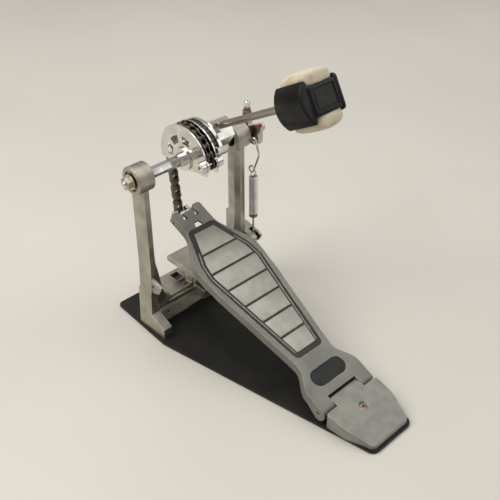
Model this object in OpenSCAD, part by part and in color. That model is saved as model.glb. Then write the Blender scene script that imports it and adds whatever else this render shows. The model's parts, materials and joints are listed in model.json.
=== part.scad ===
// Bass drum pedal: chain drive, round cam, hex axle, one extension spring.
// +X is the player's right, +Y points to the drum, +Z is up.
// The origin is on the floor, straight below the middle of the axle.

/* [Frame] */
// Height of the axle above the floor
axle_z = 198.5; // [185:0.5:215]
// Distance between the outer faces of the two posts
frame_w = 140; // [132:1:156]
// Thickness of a post, measured across the pedal
post_t = 10.6; // [9:0.2:13]
// Depth of a post, measured along the pedal
post_d = 21; // [18:0.5:24]
// Outer radius of a bearing housing
housing_r = 15.6; // [14:0.1:17]
// Length of a bearing housing
housing_l = 18; // [16:0.5:22]

/* [Base plate] */
// Thickness of the floor plate
plate_t = 2; // [1.5:0.5:3]
// Thickness of the rubber pads under the floor plate
pad_t = 1; // [0.8:0.1:2]
// Reach of the floor plate ahead of the axle
plate_front = 58.5; // [50:0.5:70]

/* [Footboard] */
// Distance from the heel hinge to the toe edge of the footboard
board_l = 270; // [262:0.5:276]
// Greatest width of the footboard
board_w = 86; // [78:1:92]
// Slope of the footboard at rest, in degrees
board_pitch = 23.2; // [22:0.1:24]
// Thickness of the footboard's top wall
board_t = 3.6; // [3:0.1:5]
// Depth of the footboard's side skirts
skirt_h = 10; // [8:0.5:11]
// Heel hinge, distance behind the axle
hinge_back = 232.5; // [228:0.5:238]
// Heel hinge, height of the pin
hinge_z = 14.5; // [14:0.5:16]

/* [Heel plate] */
// Length of the heel plate behind its hinge pin
heel_l = 63; // [56:0.5:72]
// Width of the heel plate at its shoulders
heel_w = 76; // [72:0.5:80]

/* [Drive] */
// Pitch of the chain
chain_pitch = 9.525; // [9.4:0.001:9.7]
// Radius of the chain's pins around the axle
chain_r = 33.4; // [32:0.1:34]
// Width of the hex axle across its flats
hex_af = 10.6; // [9.5:0.1:11.5]
// Diameter of the axle where it runs in the bearings
journal_d = 8; // [7:0.1:8.4]

/* [Beater] */
// Sideways place of the beater rod
beater_x = 32; // [30:0.5:34]
// Diameter of the beater rod
rod_d = 8; // [7:0.1:8.5]
// Slope of the beater rod at rest, in degrees above the horizontal
rod_slope = 29.2; // [25:0.1:33]
// Distance of the rod's axis from the axle
rod_offset = 19.5; // [18.5:0.1:21]
// Distance from the rod's nearest point to the axle out to the middle of the head
head_reach = 167; // [150:1:175]

/* [Spring] */
// Outer diameter of the return spring
spring_d = 10.6; // [9:0.1:11]
// Length of the spring's coils at rest
coil_l = 52; // [44:0.5:56]
// Diameter of the spring's wire
wire_d = 1.6; // [1.2:0.1:2]

/* [Hidden] */
$fn = 48;
eps = 0.01;
fit = 0.05;      // radial clearance of a pin in its bore
gap = 0.35;      // clearance between pieces that pass each other

// Frame
post_out = frame_w / 2;
post_in = post_out - post_t;
plate_z = pad_t + plate_t;                 // top of the floor plate
post_face_w = post_d * 0.45;               // width of a post's narrow inner face
side_flat = 6.6;                           // straight part of a post's front and back faces
housing_in = post_in - 1.6;
housing_mid = housing_in + housing_l / 2;
housing_out = housing_in + housing_l;
bearing_or = 11;
bearing_ir = 6.2;
bearing_w = 7;
leg_z = 54;                                // below this height the leg is deeper
leg_front = 13.5;
leg_back = -9;
foot_end = -30;
foot_in = post_out - 8.8;
foot_out = post_out + 3.5;
root_x = post_in - 13.4;                   // where the posts meet the crossbar
fillet_top = 38.6;                         // height of the fillet where it passes from post to crossbar
web_y = post_face_w / 2;                   // half depth of a post's web
shelf_z = 33.5;
shelf_t = 7;
shelf_front = 32;
shelf_back = -4;
bar_back = -8;
bar_t = 6;
lug_y = -16.8;
lug_z = 69.5;

// Hoop clamp
jaw_y = 2;
jaw_z = 45;
jaw_pin_r = 3;
jaw_half = 16.5;
jaw_neck = 9.6;                            // half width of the jaw below its top plate
jaw_cheek = 4;
jaw_top = 60;
jaw_tip = 31;
jaw_tail = -23;
jaw_under = jaw_top - 7;                   // face that the rubber is glued to
rubber_t = 2.6;
wing_y = -16;
wing_r = 4;

// Heel plate
knuckle_r = 6.2;
ear_r = 8;
heel_front = -hinge_back - ear_r - 1.6;
heel_end = -hinge_back - heel_l;
heel_taper = heel_w * 0.36;                // half width of the heel plate's end
heel_screw_y = -hinge_back - 26;

// Footboard, in its own frame: s along the board, n above the hinge axis
board_n = 6.9;
ear_w = 38.4;
tongue_w = 20.6;
notch_s = 7.6;
pocket_d = 1.6;
infill_t = 1.1;
border = 6.6;
groove = 2.6;
pin_r = 2.5;
toe_s = board_l - 9;
toe_n = -0.6;
slot_x = 8;
badge_r = 9.8;
badge_half = 23.5;
clevis_gap = toe_s + 4.4;                  // the toe edge is notched from here for the clevis
wide_s = 192;                              // the board is widest here
waist_s = 48;
waist_w = 25.2;
neck_s = board_l - 26;
toe_w = 20.4;

// Drive
link_deg = 2 * asin(chain_pitch / 2 / chain_r);
first_deg = -6.5;                          // the pin where the chain leaves the cam
wrap_links = 11;
loose_links = 4;                           // links that leave the cam during a stroke
run_links = 8;
cam_half = 6.2;                            // half of the groove between the flanges
flange_t = 1.9;
plate_h = 7.8;
cam_r = chain_r + plate_h / 2 + 0.5;
felt_r = chain_r - plate_h / 2 - gap;
clevis_bar = [-7.6, -1.2];                 // cross bar of the clevis, seen from the chain's last pin
clevis_bar_r = 2.8;
link_t = 1;
inner_x = 1.9;                             // inside face of an inner chain plate
outer_x = inner_x + link_t + 0.12;
chain_pin_r = 1.5;
roller_r = 2.6;
hub_r = 13;
neck_r = 7.4;
cam_left = -17;
cam_cut = -12;                             // the wheel ends at this height below the axle
window_in = 17.5;                          // windows in the left flange
window_out = 26;
window_deep = 6;
barrel_r = 6.2;
barrel_half = 14;

// Beater hub
hub_in = 19;
hub_out = 43.5;
ring_in = cam_half + flange_t + 0.4;
hub_front = 31;                            // the clamp's front face, along the rod
hub_top = 26.5;
hub_barrel = 13.2;
ring_end = 152;                            // angle at which the ring and its flange end
ring_r = cam_r - 3.4;
bolt_angle = 154;
clamp_t = 16;                              // place of the rod's clamp bolt, along the rod
head_h = 38;
head_x = 25;
core_n = 14.5;

// Spring
spring_x = post_out + 8;
rocker_in = housing_out + 1.2;
rocker_out = rocker_in + 11;
rocker_bolt_x = rocker_out - 3.6;
rocker_boss = 20.5;                        // height of the bolt's boss above the axle
rocker_pin_z = axle_z - 5.6;
rocker_pin_r = 1.5;
stirrup_wire = 2.4;
eye_r = 4.8;                               // loop on the rocker pin, wide enough for the pin's arc
hook_r = 3.5;                              // loop on the anchor pin
spring_bot = 98;
spring_top = spring_bot + coil_l;
axle_end = rocker_out + 0.8;

// ---------- small helpers ----------
module along_x(x0, x1) translate([x0, 0, 0]) rotate([90, 0, 90]) linear_extrude(x1 - x0) children();
module rod_x(r, x0, x1, y = 0, z = 0) translate([x0, y, z]) rotate([0, 90, 0]) cylinder(r = r, h = x1 - x0);
module both_sides() {
  children();
  mirror([1, 0, 0]) children();
}
module at_axle() translate([0, 0, axle_z]) children();
module box(a, b) translate(a) cube(b - a);
module ring_x(ro, ri, x0, x1) difference() {
  rod_x(ro, x0, x1);
  rod_x(ri, x0 - 1, x1 + 1);
}
function arc(c, r, a0, a1, n) = [for (i = [0 : n]) let (a = a0 + (a1 - a0) * i / n) c + r * [cos(a), sin(a)]];
// points of a smooth step from a to b, level at both ends
function ease(a, b, n) = [for (i = [0 : n])
  let (t = i / n, k = t * t * (3 - 2 * t)) [a[0] + (b[0] - a[0]) * t, a[1] + (b[1] - a[1]) * k]];
function flip(pts) = [for (i = [len(pts) - 1 : -1 : 0]) [-pts[i][0], pts[i][1]]];

// ---------- base plate ----------
module plate_outline() {
  c = 6;
  fw = post_out + 3.6;
  mw = post_out + 8;
  hw = heel_taper + 4;
  heel = hinge_back + heel_l + 3;
  right = concat(
    arc([fw - c, plate_front - c], c, 90, 8, 8),
    arc([mw - 16, -33], 16, 0, -10.5, 4),
    arc([hw - 9, -heel + 9], 9, -10.5, -90, 8));
  polygon(concat(right, flip(right)));
}
module base_plate() color("#1c1c1e") difference() {
  translate([0, 0, pad_t]) linear_extrude(plate_t) plate_outline();
  both_sides() translate([post_out - 2.5, -18, 0]) sunk_hole();
  translate([0, heel_screw_y, 0]) sunk_hole();
}
module sunk_hole() {
  translate([0, 0, -1]) cylinder(r = 2.1, h = 9);
  translate([0, 0, pad_t - eps]) cylinder(r1 = 3.9, r2 = 2.1, h = 1.8);
}
module rubber_pads() color("#111111") {
  both_sides() translate([post_out - 16, 26, 0]) linear_extrude(pad_t) square([22, 40], center = true);
  both_sides() translate([44, -120, 0]) linear_extrude(pad_t) square([14, 60], center = true);
  translate([0, -hinge_back - 44, 0]) linear_extrude(pad_t) square([34, 18], center = true);
  linear_extrude(pad_t) square([44, 30], center = true);
}

// ---------- frame ----------
module post_section() {
  h = post_d / 2;
  polygon([[post_out, -h], [post_out, h], [post_out - side_flat, h], [post_in, web_y], [post_in, -web_y],
    [post_out - side_flat, -h]]);
}
module leg_front_view() polygon([[post_out, 101], [post_out, 90], [foot_out, plate_z], [foot_in, plate_z],
  [foot_in, shelf_z], [post_in, shelf_z + 12], [post_in, 101]]);
// inner edge of the fillet that runs from the post into the crossbar: [distance inside the post, height]
fillet = [[0, 101], [0.6, 89], [3.3, 75.6], [5.9, 60], [7, 53], [9.4, 44], [13.4, fillet_top]];
module web_front_view() polygon(concat([for (p = fillet) [post_in - p[0], p[1]]],
  [[root_x, 10], [foot_in + 1, 10], [foot_in + 1, 101]]));
module leg_side_view() polygon([[post_d / 2, 101], [-post_d / 2, 101], [-post_d / 2, leg_z + 6],
  [leg_back, leg_z],
  [leg_back, 26], [foot_end, 15.5], [foot_end, plate_z], [leg_front, plate_z], [leg_front, leg_z],
  [post_d / 2, leg_z + 1]]);
// the corner taken off the leg's inner back edge, as on the post above it
module leg_corner() translate([0, 0, 34]) linear_extrude(68)
  polygon([[post_out - side_flat, -post_d / 2], [post_in, -web_y], [post_in - 5, -web_y],
    [post_in - 5, -post_d], [post_out - side_flat, -post_d]]);
module lug_outline() {
  polygon([[2.6, 78.5], [-13, 75.5], [-22.3, 73.3], [-26, 71.2], [-26.2, 69], [-22, 61.5], [-15, 58.5],
    [2.6, 56]]);
}
module post(lug0, lug1) difference() {
  union() {
    translate([0, 0, 100]) linear_extrude(axle_z - 100) post_section();
    difference() {
      intersection() {
        translate([0, 20, 0]) rotate([90, 0, 0]) linear_extrude(60) leg_front_view();
        along_x(0, foot_out + 1) leg_side_view();
      }
      leg_corner();
    }
    translate([0, web_y, 0]) rotate([90, 0, 0]) linear_extrude(2 * web_y) web_front_view();
    along_x(lug0, lug1) lug_outline();
    at_axle() rod_x(housing_r, housing_in, housing_out);
    at_axle() rod_x(housing_r - 1, housing_in - 0.8, housing_out + 0.8);
  }
  at_axle() rod_x(bearing_or + fit, housing_mid - bearing_w / 2 - eps, housing_out + 2);
  at_axle() rod_x(bearing_or - 2, housing_in - 2, housing_out + 2);
  // the screw from below
  translate([post_out - 2.5, -18, 0]) cylinder(r = 2.05, h = 15);
}
module left_post() color("#a8a397") difference() {
  mirror([1, 0, 0]) post(post_out - 3.2, post_out);
  translate([-post_out - 1, -12.5, 66.5]) rotate([0, 90, 0]) cylinder(r = 2, h = 10);
}
module right_post() color("#a8a397") difference() {
  post(post_out - 2, spring_x + 5.5);
  rod_x(2.02, spring_x - 8, spring_x + 7, lug_y, lug_z);
  box([spring_x - 2.6, lug_y - 20, lug_z - 5.4], [spring_x + 2.6, lug_y + 6, lug_z + 20]);
}
module post_screws() color("#77736c") both_sides() translate([post_out - 2.5, -18, pad_t]) {
  cylinder(r = 2, h = 12);
  cylinder(r1 = 3.8, r2 = 2, h = 1.8);
}
module crossbar() color("#9d9a92") difference() {
  union() {
    // shelf that the drum hoop rests on
    translate([0, 0, shelf_z - shelf_t]) linear_extrude(shelf_t) difference() {
      polygon([[-root_x, shelf_back], [root_x, shelf_back], [root_x, 22], [root_x - 8, shelf_front],
        [-root_x + 8, shelf_front], [-root_x, 22]]);
      both_sides() translate([6.5, 14]) square([11, 13]);
    }
    // back wall between the posts, and the sloping bar that reaches from foot to foot
    along_x(-root_x, root_x) polygon([[bar_back, 9], [bar_back, shelf_z - 2], [bar_back + bar_t, shelf_z - 2],
      [bar_back + bar_t, 9]]);
    along_x(-foot_in + gap, foot_in - gap) polygon([[bar_back - 5, 9], [bar_back - 5.5, 12],
      [bar_back - 1.5, 24.5], [bar_back, 26.5], [-web_y - gap, 26.5], [-web_y - gap, 9]]);
    // the fillet that comes in from each post
    both_sides() translate([0, web_y, 0]) rotate([90, 0, 0]) linear_extrude(2 * web_y)
      polygon([[root_x, fillet_top], [root_x - 5, fillet_top - 4], [root_x - 8, shelf_z - 1],
        [root_x, shelf_z - 1]]);
    // ear that carries the jaw
    along_x(-jaw_neck + jaw_cheek + gap, jaw_neck - jaw_cheek - gap) polygon(concat(
      [[jaw_y + 9, shelf_z - 1], [jaw_y + 7, jaw_z]], arc([jaw_y, jaw_z], 7, 0, 180, 16),
      [[jaw_y - 9, shelf_z - 6]]));
    // anvil under the wing bolt
    along_x(-8, 8) polygon([[-24, 22], [-24, 33], [-6, 35.5], [-2, 26], [-7, 20]]);
    // gussets under the shelf
    both_sides() box([root_x - 8, bar_back + 1, 9], [root_x - 3, shelf_front - 8, shelf_z - shelf_t + 1]);
  }
  // arched underside
  translate([0, 10, 0]) rotate([90, 0, 0]) linear_extrude(30)
    polygon(concat([[-root_x + 2, 8], [root_x - 2, 8]], [for (i = [0 : 12]) let (t = 1 - i / 6)
      [(root_x - 4) * t, 13.5 - 4 * t * t]]));
  rod_x(jaw_pin_r + fit, -20, 20, jaw_y, jaw_z);
  both_sides() translate([root_x + 5, 0, 20]) rotate([90, 0, 0]) cylinder(r = 1.6, h = 40, center = true);
  // shallow pockets beside the ear, each with a screw
  both_sides() box([7, -2, shelf_z - 1.8], [17.5, 11, shelf_z + 1]);
  crossbar_screw_places() cylinder(r = 1.85, h = 20, center = true);
  crossbar_screw_places() translate([0, 0, 3]) cylinder(r = 3.4, h = 9);
}
module crossbar_screw_places() both_sides() translate([12, 6, shelf_z - shelf_t]) children();
module crossbar_screws() color("#8a6a4a") crossbar_screw_places() difference() {
  union() {
    cylinder(r = 1.8, h = 3.4);
    translate([0, 0, 3.2]) cylinder(r = 3.2, h = 2.6);
  }
  translate([0, 0, 4.2]) cylinder(r = 1.4, h = 4, $fn = 6);
}

// ---------- hoop clamp ----------
module hoop_jaw() color("#8f9090") difference() {
  union() {
    along_x(-jaw_half, jaw_half) polygon([[jaw_tail, jaw_top - 6], [jaw_tail, jaw_top - 2],
      [jaw_tail + 2, jaw_top],
      [jaw_tip - 1, jaw_top], [jaw_tip, jaw_top - 1], [jaw_tip, jaw_under], [jaw_tail + 2, jaw_under]]);
    along_x(-jaw_neck, jaw_neck) polygon(concat([[jaw_y - 14, jaw_top - 4], [jaw_y + 16, jaw_top - 4],
      [jaw_y + 16, jaw_under - 1]], arc([jaw_y, jaw_z], 8, -10, -170, 12)));
  }
  box([-jaw_neck + jaw_cheek, jaw_y - 13, 30], [jaw_neck - jaw_cheek, jaw_y + 13, jaw_top - 5]);
  rod_x(jaw_pin_r + 0.02, -30, 30, jaw_y, jaw_z);
  translate([0, wing_y, 40]) cylinder(r = wing_r + fit, h = 40);
}
module jaw_pin() color("#b9b9b6") rod_x(jaw_pin_r, -jaw_neck - 1, jaw_neck + 1, jaw_y, jaw_z);
module jaw_rubber() color("#1b1b1b") translate([0, 25.4, jaw_under - rubber_t]) linear_extrude(rubber_t)
  square([26, 10], center = true);
module wing_bolt() color("#c9c9c6") {
  translate([0, wing_y, shelf_z + 4.2]) cylinder(r = wing_r, h = jaw_top - shelf_z - 2);
  translate([0, wing_y, jaw_top + 0.6]) cylinder(r = 6.4, h = 4);
  translate([0, wing_y, jaw_top + 0.6]) rotate([90, 0, 0]) linear_extrude(3, center = true)
    polygon([[-4, 0], [-8, 1], [-15, 7], [-15, 9.5], [-11, 9.5], [-5, 4], [5, 4], [11, 9.5], [15, 9.5], [15, 7],
      [8, 1], [4, 0]]);
}

// ---------- heel ----------
module heel_plan() {
  h = heel_w / 2;
  e = heel_taper;
  right = concat([[tongue_w - gap, -hinge_back + 12], [tongue_w - gap, heel_front], [h - 2, heel_front],
    [h, heel_front - 2]],
    ease([h, heel_front - 6], [h - 1.6, heel_front - 24], 4), [[e + 1.2, heel_end + 6]],
    arc([e - 5, heel_end + 6], 6, 0, -90, 6));
  polygon(concat(right, flip(right)));
}
module heel_side() polygon(concat(
  [[heel_end, plate_z], [heel_end, 6.4], [heel_end + 1.5, 8]],
  [[-hinge_back - 38, 15.2], [-hinge_back - 18, 19.6], [-hinge_back - 4, hinge_z + knuckle_r]],
  arc([-hinge_back, hinge_z], knuckle_r, 90, -60, 12), [[-hinge_back - 2, 7.6], [-hinge_back - 8, plate_z]]));
module heel_plate() color("#85888a") difference() {
  intersection() {
    along_x(-60, 60) heel_side();
    linear_extrude(60) heel_plan();
  }
  rod_x(pin_r + 0.02, -60, 60, -hinge_back, hinge_z);
  translate([0, heel_screw_y, -1]) cylinder(r = 2.05, h = 40);
  translate([0, heel_screw_y, 14.4]) cylinder(r1 = 2.05, r2 = 5.2, h = 3.2);
  translate([0, heel_screw_y, 17.5]) cylinder(r = 5.2, h = 5);
  // hollow underside
  both_sides() box([8, heel_end + 9, plate_z - 1], [heel_taper - 5, heel_front - 5, 7]);
}
module heel_screw() color("#b08d72") translate([0, heel_screw_y, pad_t]) difference() {
  union() {
    cylinder(r = 2, h = 14);
    translate([0, 0, 13.5]) cylinder(r1 = 2, r2 = 4.9, h = 2.9);
  }
  translate([0, 0, 14.2]) cylinder(r = 1.7, h = 4, $fn = 6);
}
module hinge_pin() color("#9a8a72") rod_x(pin_r, -ear_w + 1, ear_w - 1, -hinge_back, hinge_z);

// ---------- footboard ----------
module board_frame() translate([0, -hinge_back, hinge_z]) rotate([board_pitch, 0, 0]) children();
// local drawings use [x, s]; a slab is extruded along n
module slab(n0, n1) translate([0, 0, n0]) linear_extrude(n1 - n0) children();
module board_outline(d = 0) {
  w = board_w / 2 - d;
  right = concat([[tongue_w - d, notch_s + d], [ear_w - d, notch_s + d]],
    ease([19, ear_w - d], [waist_s, waist_w - d], 8) * [[0, 1], [1, 0]],
    [[waist_w + 1.6 - d, waist_s + 14]],
    ease([wide_s - 34, w - 2.2], [wide_s - 6, w], 4) * [[0, 1], [1, 0]],
    ease([wide_s, w], [neck_s, toe_w - d], 12) * [[0, 1], [1, 0]],
    arc([toe_w - d - 3, board_l - d - 3], 3, 0, 90, 5));
  polygon(concat(right, flip(right)));
}
tread_side = [[13.7, 61.5], [board_w / 2 - 11.9, wide_s - 14], [board_w / 2 - 14.6, wide_s + 4],
  [13.9, board_l - 35]];
module tread_outline() polygon(concat(tread_side, flip(tread_side)));
module tread_grooves() {
  for (i = [0 : 5]) translate([-60, 83.6 + i * 24.75 - groove / 2]) square([120, groove]);
}
module tread_pocket() {
  difference() {
    offset(r = border) tread_outline();
    tread_outline();
  }
  intersection() {
    tread_outline();
    tread_grooves();
  }
}
module badge_outline() translate([0, 27.5]) {
  both_sides() translate([badge_half - badge_r, 0]) circle(r = badge_r);
  square([2 * (badge_half - badge_r), 2 * badge_r], center = true);
}
module cross_rib(inset, s, len, depth) slab(board_n - depth, board_n - 1) intersection() {
  board_outline(inset);
  translate([-60, s]) square([120, len]);
}
module footboard() color("#888b8d") board_frame() difference() {
  union() {
    slab(board_n - board_t, board_n) board_outline();
    slab(board_n - skirt_h, board_n - 0.5) difference() {
      board_outline();
      board_outline(3);
    }
    // hinge ears
    both_sides() along_x(tongue_w + 0.2, ear_w) polygon(concat(arc([0, board_n - ear_r], ear_r, 90, 270, 16),
      [[15, board_n - skirt_h], [19, board_n]]));
    // cross ribs and toe block
    for (s = [96, 146, 196]) cross_rib(1, s, 3, 8);
    cross_rib(0, toe_s - 8, 20, skirt_h);
    cross_rib(0, notch_s, 7, skirt_h);
  }
  rod_x(pin_r + fit, -60, 60);
  slab(board_n - pocket_d, board_n + 1) tread_pocket();
  slab(board_n - pocket_d, board_n + 1) badge_outline();
  // clevis slots, window and toe pin bore
  both_sides() translate([slot_x - 3, toe_s - 5, -20]) cube([6, 20, 40]);
  translate([-slot_x - 3, clevis_gap, -20]) cube([2 * slot_x + 6, 20, 40]);
  slab(-20, 20) polygon([[-6, toe_s - 19], [6, toe_s - 19], [3.5, toe_s - 12], [-3.5, toe_s - 12]]);
  rod_x(pin_r + 0.02, -30, 30, toe_s, toe_n);
}
module infill() board_frame() slab(board_n - pocket_d, board_n - pocket_d + infill_t) children();
module tread_infill() color("#2b2c2e") infill() tread_pocket();
module badge_infill() color("#2b2c2e") infill() badge_outline();
module toe_pin() color("#c8c8c4") board_frame() rod_x(pin_r, -toe_w + 1, toe_w - 1, toe_s, toe_n);

// ---------- chain ----------
function cam_point(k) = chain_r * [cos(first_deg + k * link_deg), sin(first_deg + k * link_deg)] + [0, axle_z];
function run_point(k) = cam_point(0) + k * chain_pitch * [sin(first_deg), -cos(first_deg)];
// one link between the points p and q; outer links carry the pins
module bar_shape(p, q, r) {
  translate(p) circle(r = r);
  translate(q) circle(r = r);
  side = r * 0.86 * [-(q - p)[1], (q - p)[0]] / norm(q - p);
  polygon([p + side, p - side, q - side, q + side]);
}
module outer_link(p, q, pin_p = true, pin_q = true) {
  r = plate_h / 2;
  both_sides() along_x(outer_x, outer_x + link_t) bar_shape(p, q, r);
  for (e = [[p, pin_p], [q, pin_q]]) {
    if (e[1]) rod_x(chain_pin_r, -outer_x - link_t - 0.7, outer_x + link_t + 0.7, e[0][0], e[0][1]);
    else both_sides() rod_x(chain_pin_r, outer_x + link_t - 0.3, outer_x + link_t + 0.7, e[0][0], e[0][1]);
  }
}
module inner_link(p, q) difference() {
  union() {
    both_sides() along_x(inner_x, inner_x + link_t) bar_shape(p, q, plate_h / 2);
    for (e = [p, q]) rod_x(roller_r, -inner_x - 0.2, inner_x + 0.2, e[0], e[1]);
  }
  for (e = [p, q]) rod_x(chain_pin_r + fit, -9, 9, e[0], e[1]);
}
module chain_wrapped() color("#3a332d") difference() {
  for (k = [loose_links : wrap_links - 1]) {
    if (k % 2 == 0) outer_link(cam_point(k), cam_point(k + 1), true, k < wrap_links - 1);
    else inner_link(cam_point(k), cam_point(k + 1));
  }
  rod_x(chain_pin_r + fit, -9, 9, cam_point(wrap_links)[0], cam_point(wrap_links)[1]);
}
module chain_link_a() color("#3a332d") inner_link(cam_point(3), cam_point(4));
module chain_link_b() color("#3a332d") outer_link(cam_point(2), cam_point(3));
module chain_link_c() color("#3a332d") inner_link(cam_point(1), cam_point(2));
module chain_link_d() color("#3a332d") outer_link(cam_point(0), cam_point(1), false, true);
module chain_run() color("#3a332d") for (k = [0 : run_links - 1]) {
  if (k % 2 == 0) inner_link(run_point(k), run_point(k + 1));
  else outer_link(run_point(k), run_point(k + 1));
}
// clevis: hooks on the toe pin, its tongue takes the chain's last pin
toe_y = -hinge_back + toe_s * cos(board_pitch) - toe_n * sin(board_pitch);
toe_z = hinge_z + toe_s * sin(board_pitch) + toe_n * cos(board_pitch);
module chain_clevis() color("#c9c9c5") difference() {
  e = run_point(run_links);
  union() {
    both_sides() along_x(slot_x - 2, slot_x + 2) bar_shape([toe_y, toe_z], e + [-4.5, -0.5], 4.6);
    along_x(-slot_x - 2, slot_x + 2) translate(e + clevis_bar) circle(r = clevis_bar_r);
    along_x(-inner_x + 0.15, inner_x - 0.15) bar_shape(e + clevis_bar, e, clevis_bar_r);
  }
  rod_x(chain_pin_r + fit, -9, 9, e[0], e[1]);
  rod_x(pin_r + 0.02, -30, 30, toe_y, toe_z);
}

// ---------- axle and bearings ----------
module hex_axle() color("#cfcfcc") at_axle() {
  translate([-housing_in + 1.5, 0, 0]) rotate([0, 90, 0]) rotate([0, 0, 30])
    cylinder(r = hex_af / sqrt(3), h = 2 * housing_in - 3, $fn = 6);
  rod_x(journal_d / 2, -housing_out - 9.6, axle_end);
  rod_x(journal_d / 2 - 1.2, -housing_out - 10.8, 0);
}
module bearing_outer_races() color("#b49a58") both_sides() at_axle() {
  ring_x(bearing_or, bearing_or - 1.6, housing_mid - bearing_w / 2, housing_mid + bearing_w / 2);
  ring_x(bearing_or - 0.1, bearing_or - 2, housing_mid + bearing_w / 2, housing_out - 1);
  ring_x(bearing_or - 2 + eps, bearing_or - 3.6, housing_mid + bearing_w / 2, housing_out - 0.2);
}
module bearing_balls() color("#d8d8d8") both_sides() at_axle() for (i = [0 : 7]) rotate([i * 45, 0, 0])
  translate([housing_mid, 0, 7.9]) sphere(r = 1.45, $fn = 24);
module bearing_inner_races() color("#c8b070") both_sides() at_axle()
  ring_x(bearing_ir, journal_d / 2, housing_mid - bearing_w / 2, housing_mid + bearing_w / 2);
module axle_washers() color("#bdbdb8") at_axle() {
  ring_x(6, journal_d / 2, -housing_out - 1.2, -housing_mid - bearing_w / 2);
  ring_x(8.2, journal_d / 2, -housing_out - 2.6, -housing_out - 1.2);
  ring_x(6, journal_d / 2, housing_mid + bearing_w / 2, rocker_in);
}
module axle_nuts() color("#cdcdc8") at_axle() {
  translate([-housing_out - 8.6, 0, 0]) rotate([0, 90, 0]) difference() {
    union() {
      cylinder(r = 7.2, h = 6, $fn = 6);
      translate([0, 0, -0.8]) cylinder(r1 = 4.9, r2 = 6, h = 0.9);
    }
    translate([0, 0, -2]) cylinder(r = journal_d / 2, h = 9);
  }
}

// ---------- cam ----------
module cam_face(r) difference() {
  circle(r = r);
  polygon([[-60, cam_cut + 6], [-22, cam_cut + 4], [0, cam_cut - 1], [22, cam_cut + 2], [60, cam_cut + 2],
    [60, -60], [-60, -60]]);
}
// drawn on both flanges of the cam
module on_flanges() for (m = [-1, 1])
  along_x(m > 0 ? cam_half : -cam_half - flange_t, m > 0 ? cam_half + flange_t : -cam_half) children();
module cam_window(a) intersection() {
  difference() {
    circle(r = window_out);
    circle(r = window_in);
  }
  polygon([[0, 0], 60 * [cos(a - 16), sin(a - 16)], 60 * [cos(a), sin(a)], 60 * [cos(a + 16), sin(a + 16)]]);
}
module cam_wheel() color("#c6c6c2") at_axle() difference() {
  union() {
    on_flanges() cam_face(cam_r);
    along_x(-cam_half - eps, cam_half + eps) cam_face(felt_r - 1.6);
    rod_x(hub_r, -cam_half - flange_t - 2.4, cam_half + flange_t);
    rod_x(neck_r, cam_left, 0);
    // boss that carries the chain anchor
    on_flanges() translate(cam_point(wrap_links) - [0, axle_z]) circle(r = barrel_r + 1);
  }
  for (a = [8, 54, 104]) along_x(-cam_half - flange_t - 1, -cam_half - flange_t + window_deep) cam_window(a);
  translate([-50, 0, 0]) rotate([0, 90, 0]) rotate([0, 0, 30])
    cylinder(r = (hex_af + 2 * fit) / sqrt(3), h = 100, $fn = 6);
  rod_x(barrel_r, -40, 40, cam_point(wrap_links)[0], cam_point(wrap_links)[1] - axle_z);
  rotate([140, 0, 0]) cylinder(r = 2.5, h = 60);
}
module cam_felt() color("#26241f") at_axle() along_x(-cam_half + 0.1, cam_half - 0.1) difference() {
  cam_face(felt_r);
  circle(r = felt_r - 1.6);
  translate(cam_point(wrap_links) - [0, axle_z]) circle(r = barrel_r + 0.3);
}
module cam_screw() color("#c9c9c5") at_axle() rotate([140, 0, 0])
  translate([0, 0, hex_af / sqrt(3) + 0.15]) cylinder(r = 2.5, h = hub_r - hex_af / sqrt(3));
module chain_anchor() color("#cfcfca") {
  p = cam_point(wrap_links);
  difference() {
    union() {
      rod_x(barrel_r, -barrel_half, -outer_x - link_t - 0.9, p[0], p[1]);
      rod_x(barrel_r, outer_x + link_t + 0.9, barrel_half, p[0], p[1]);
      rod_x(chain_pin_r, -outer_x - link_t - 1, outer_x + link_t + 1, p[0], p[1]);
    }
    rod_x(2.6, -barrel_half - 1, -barrel_half + 2, p[0], p[1]);
    rod_x(2.6, barrel_half - 2, barrel_half + 1, p[0], p[1]);
  }
}

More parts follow.
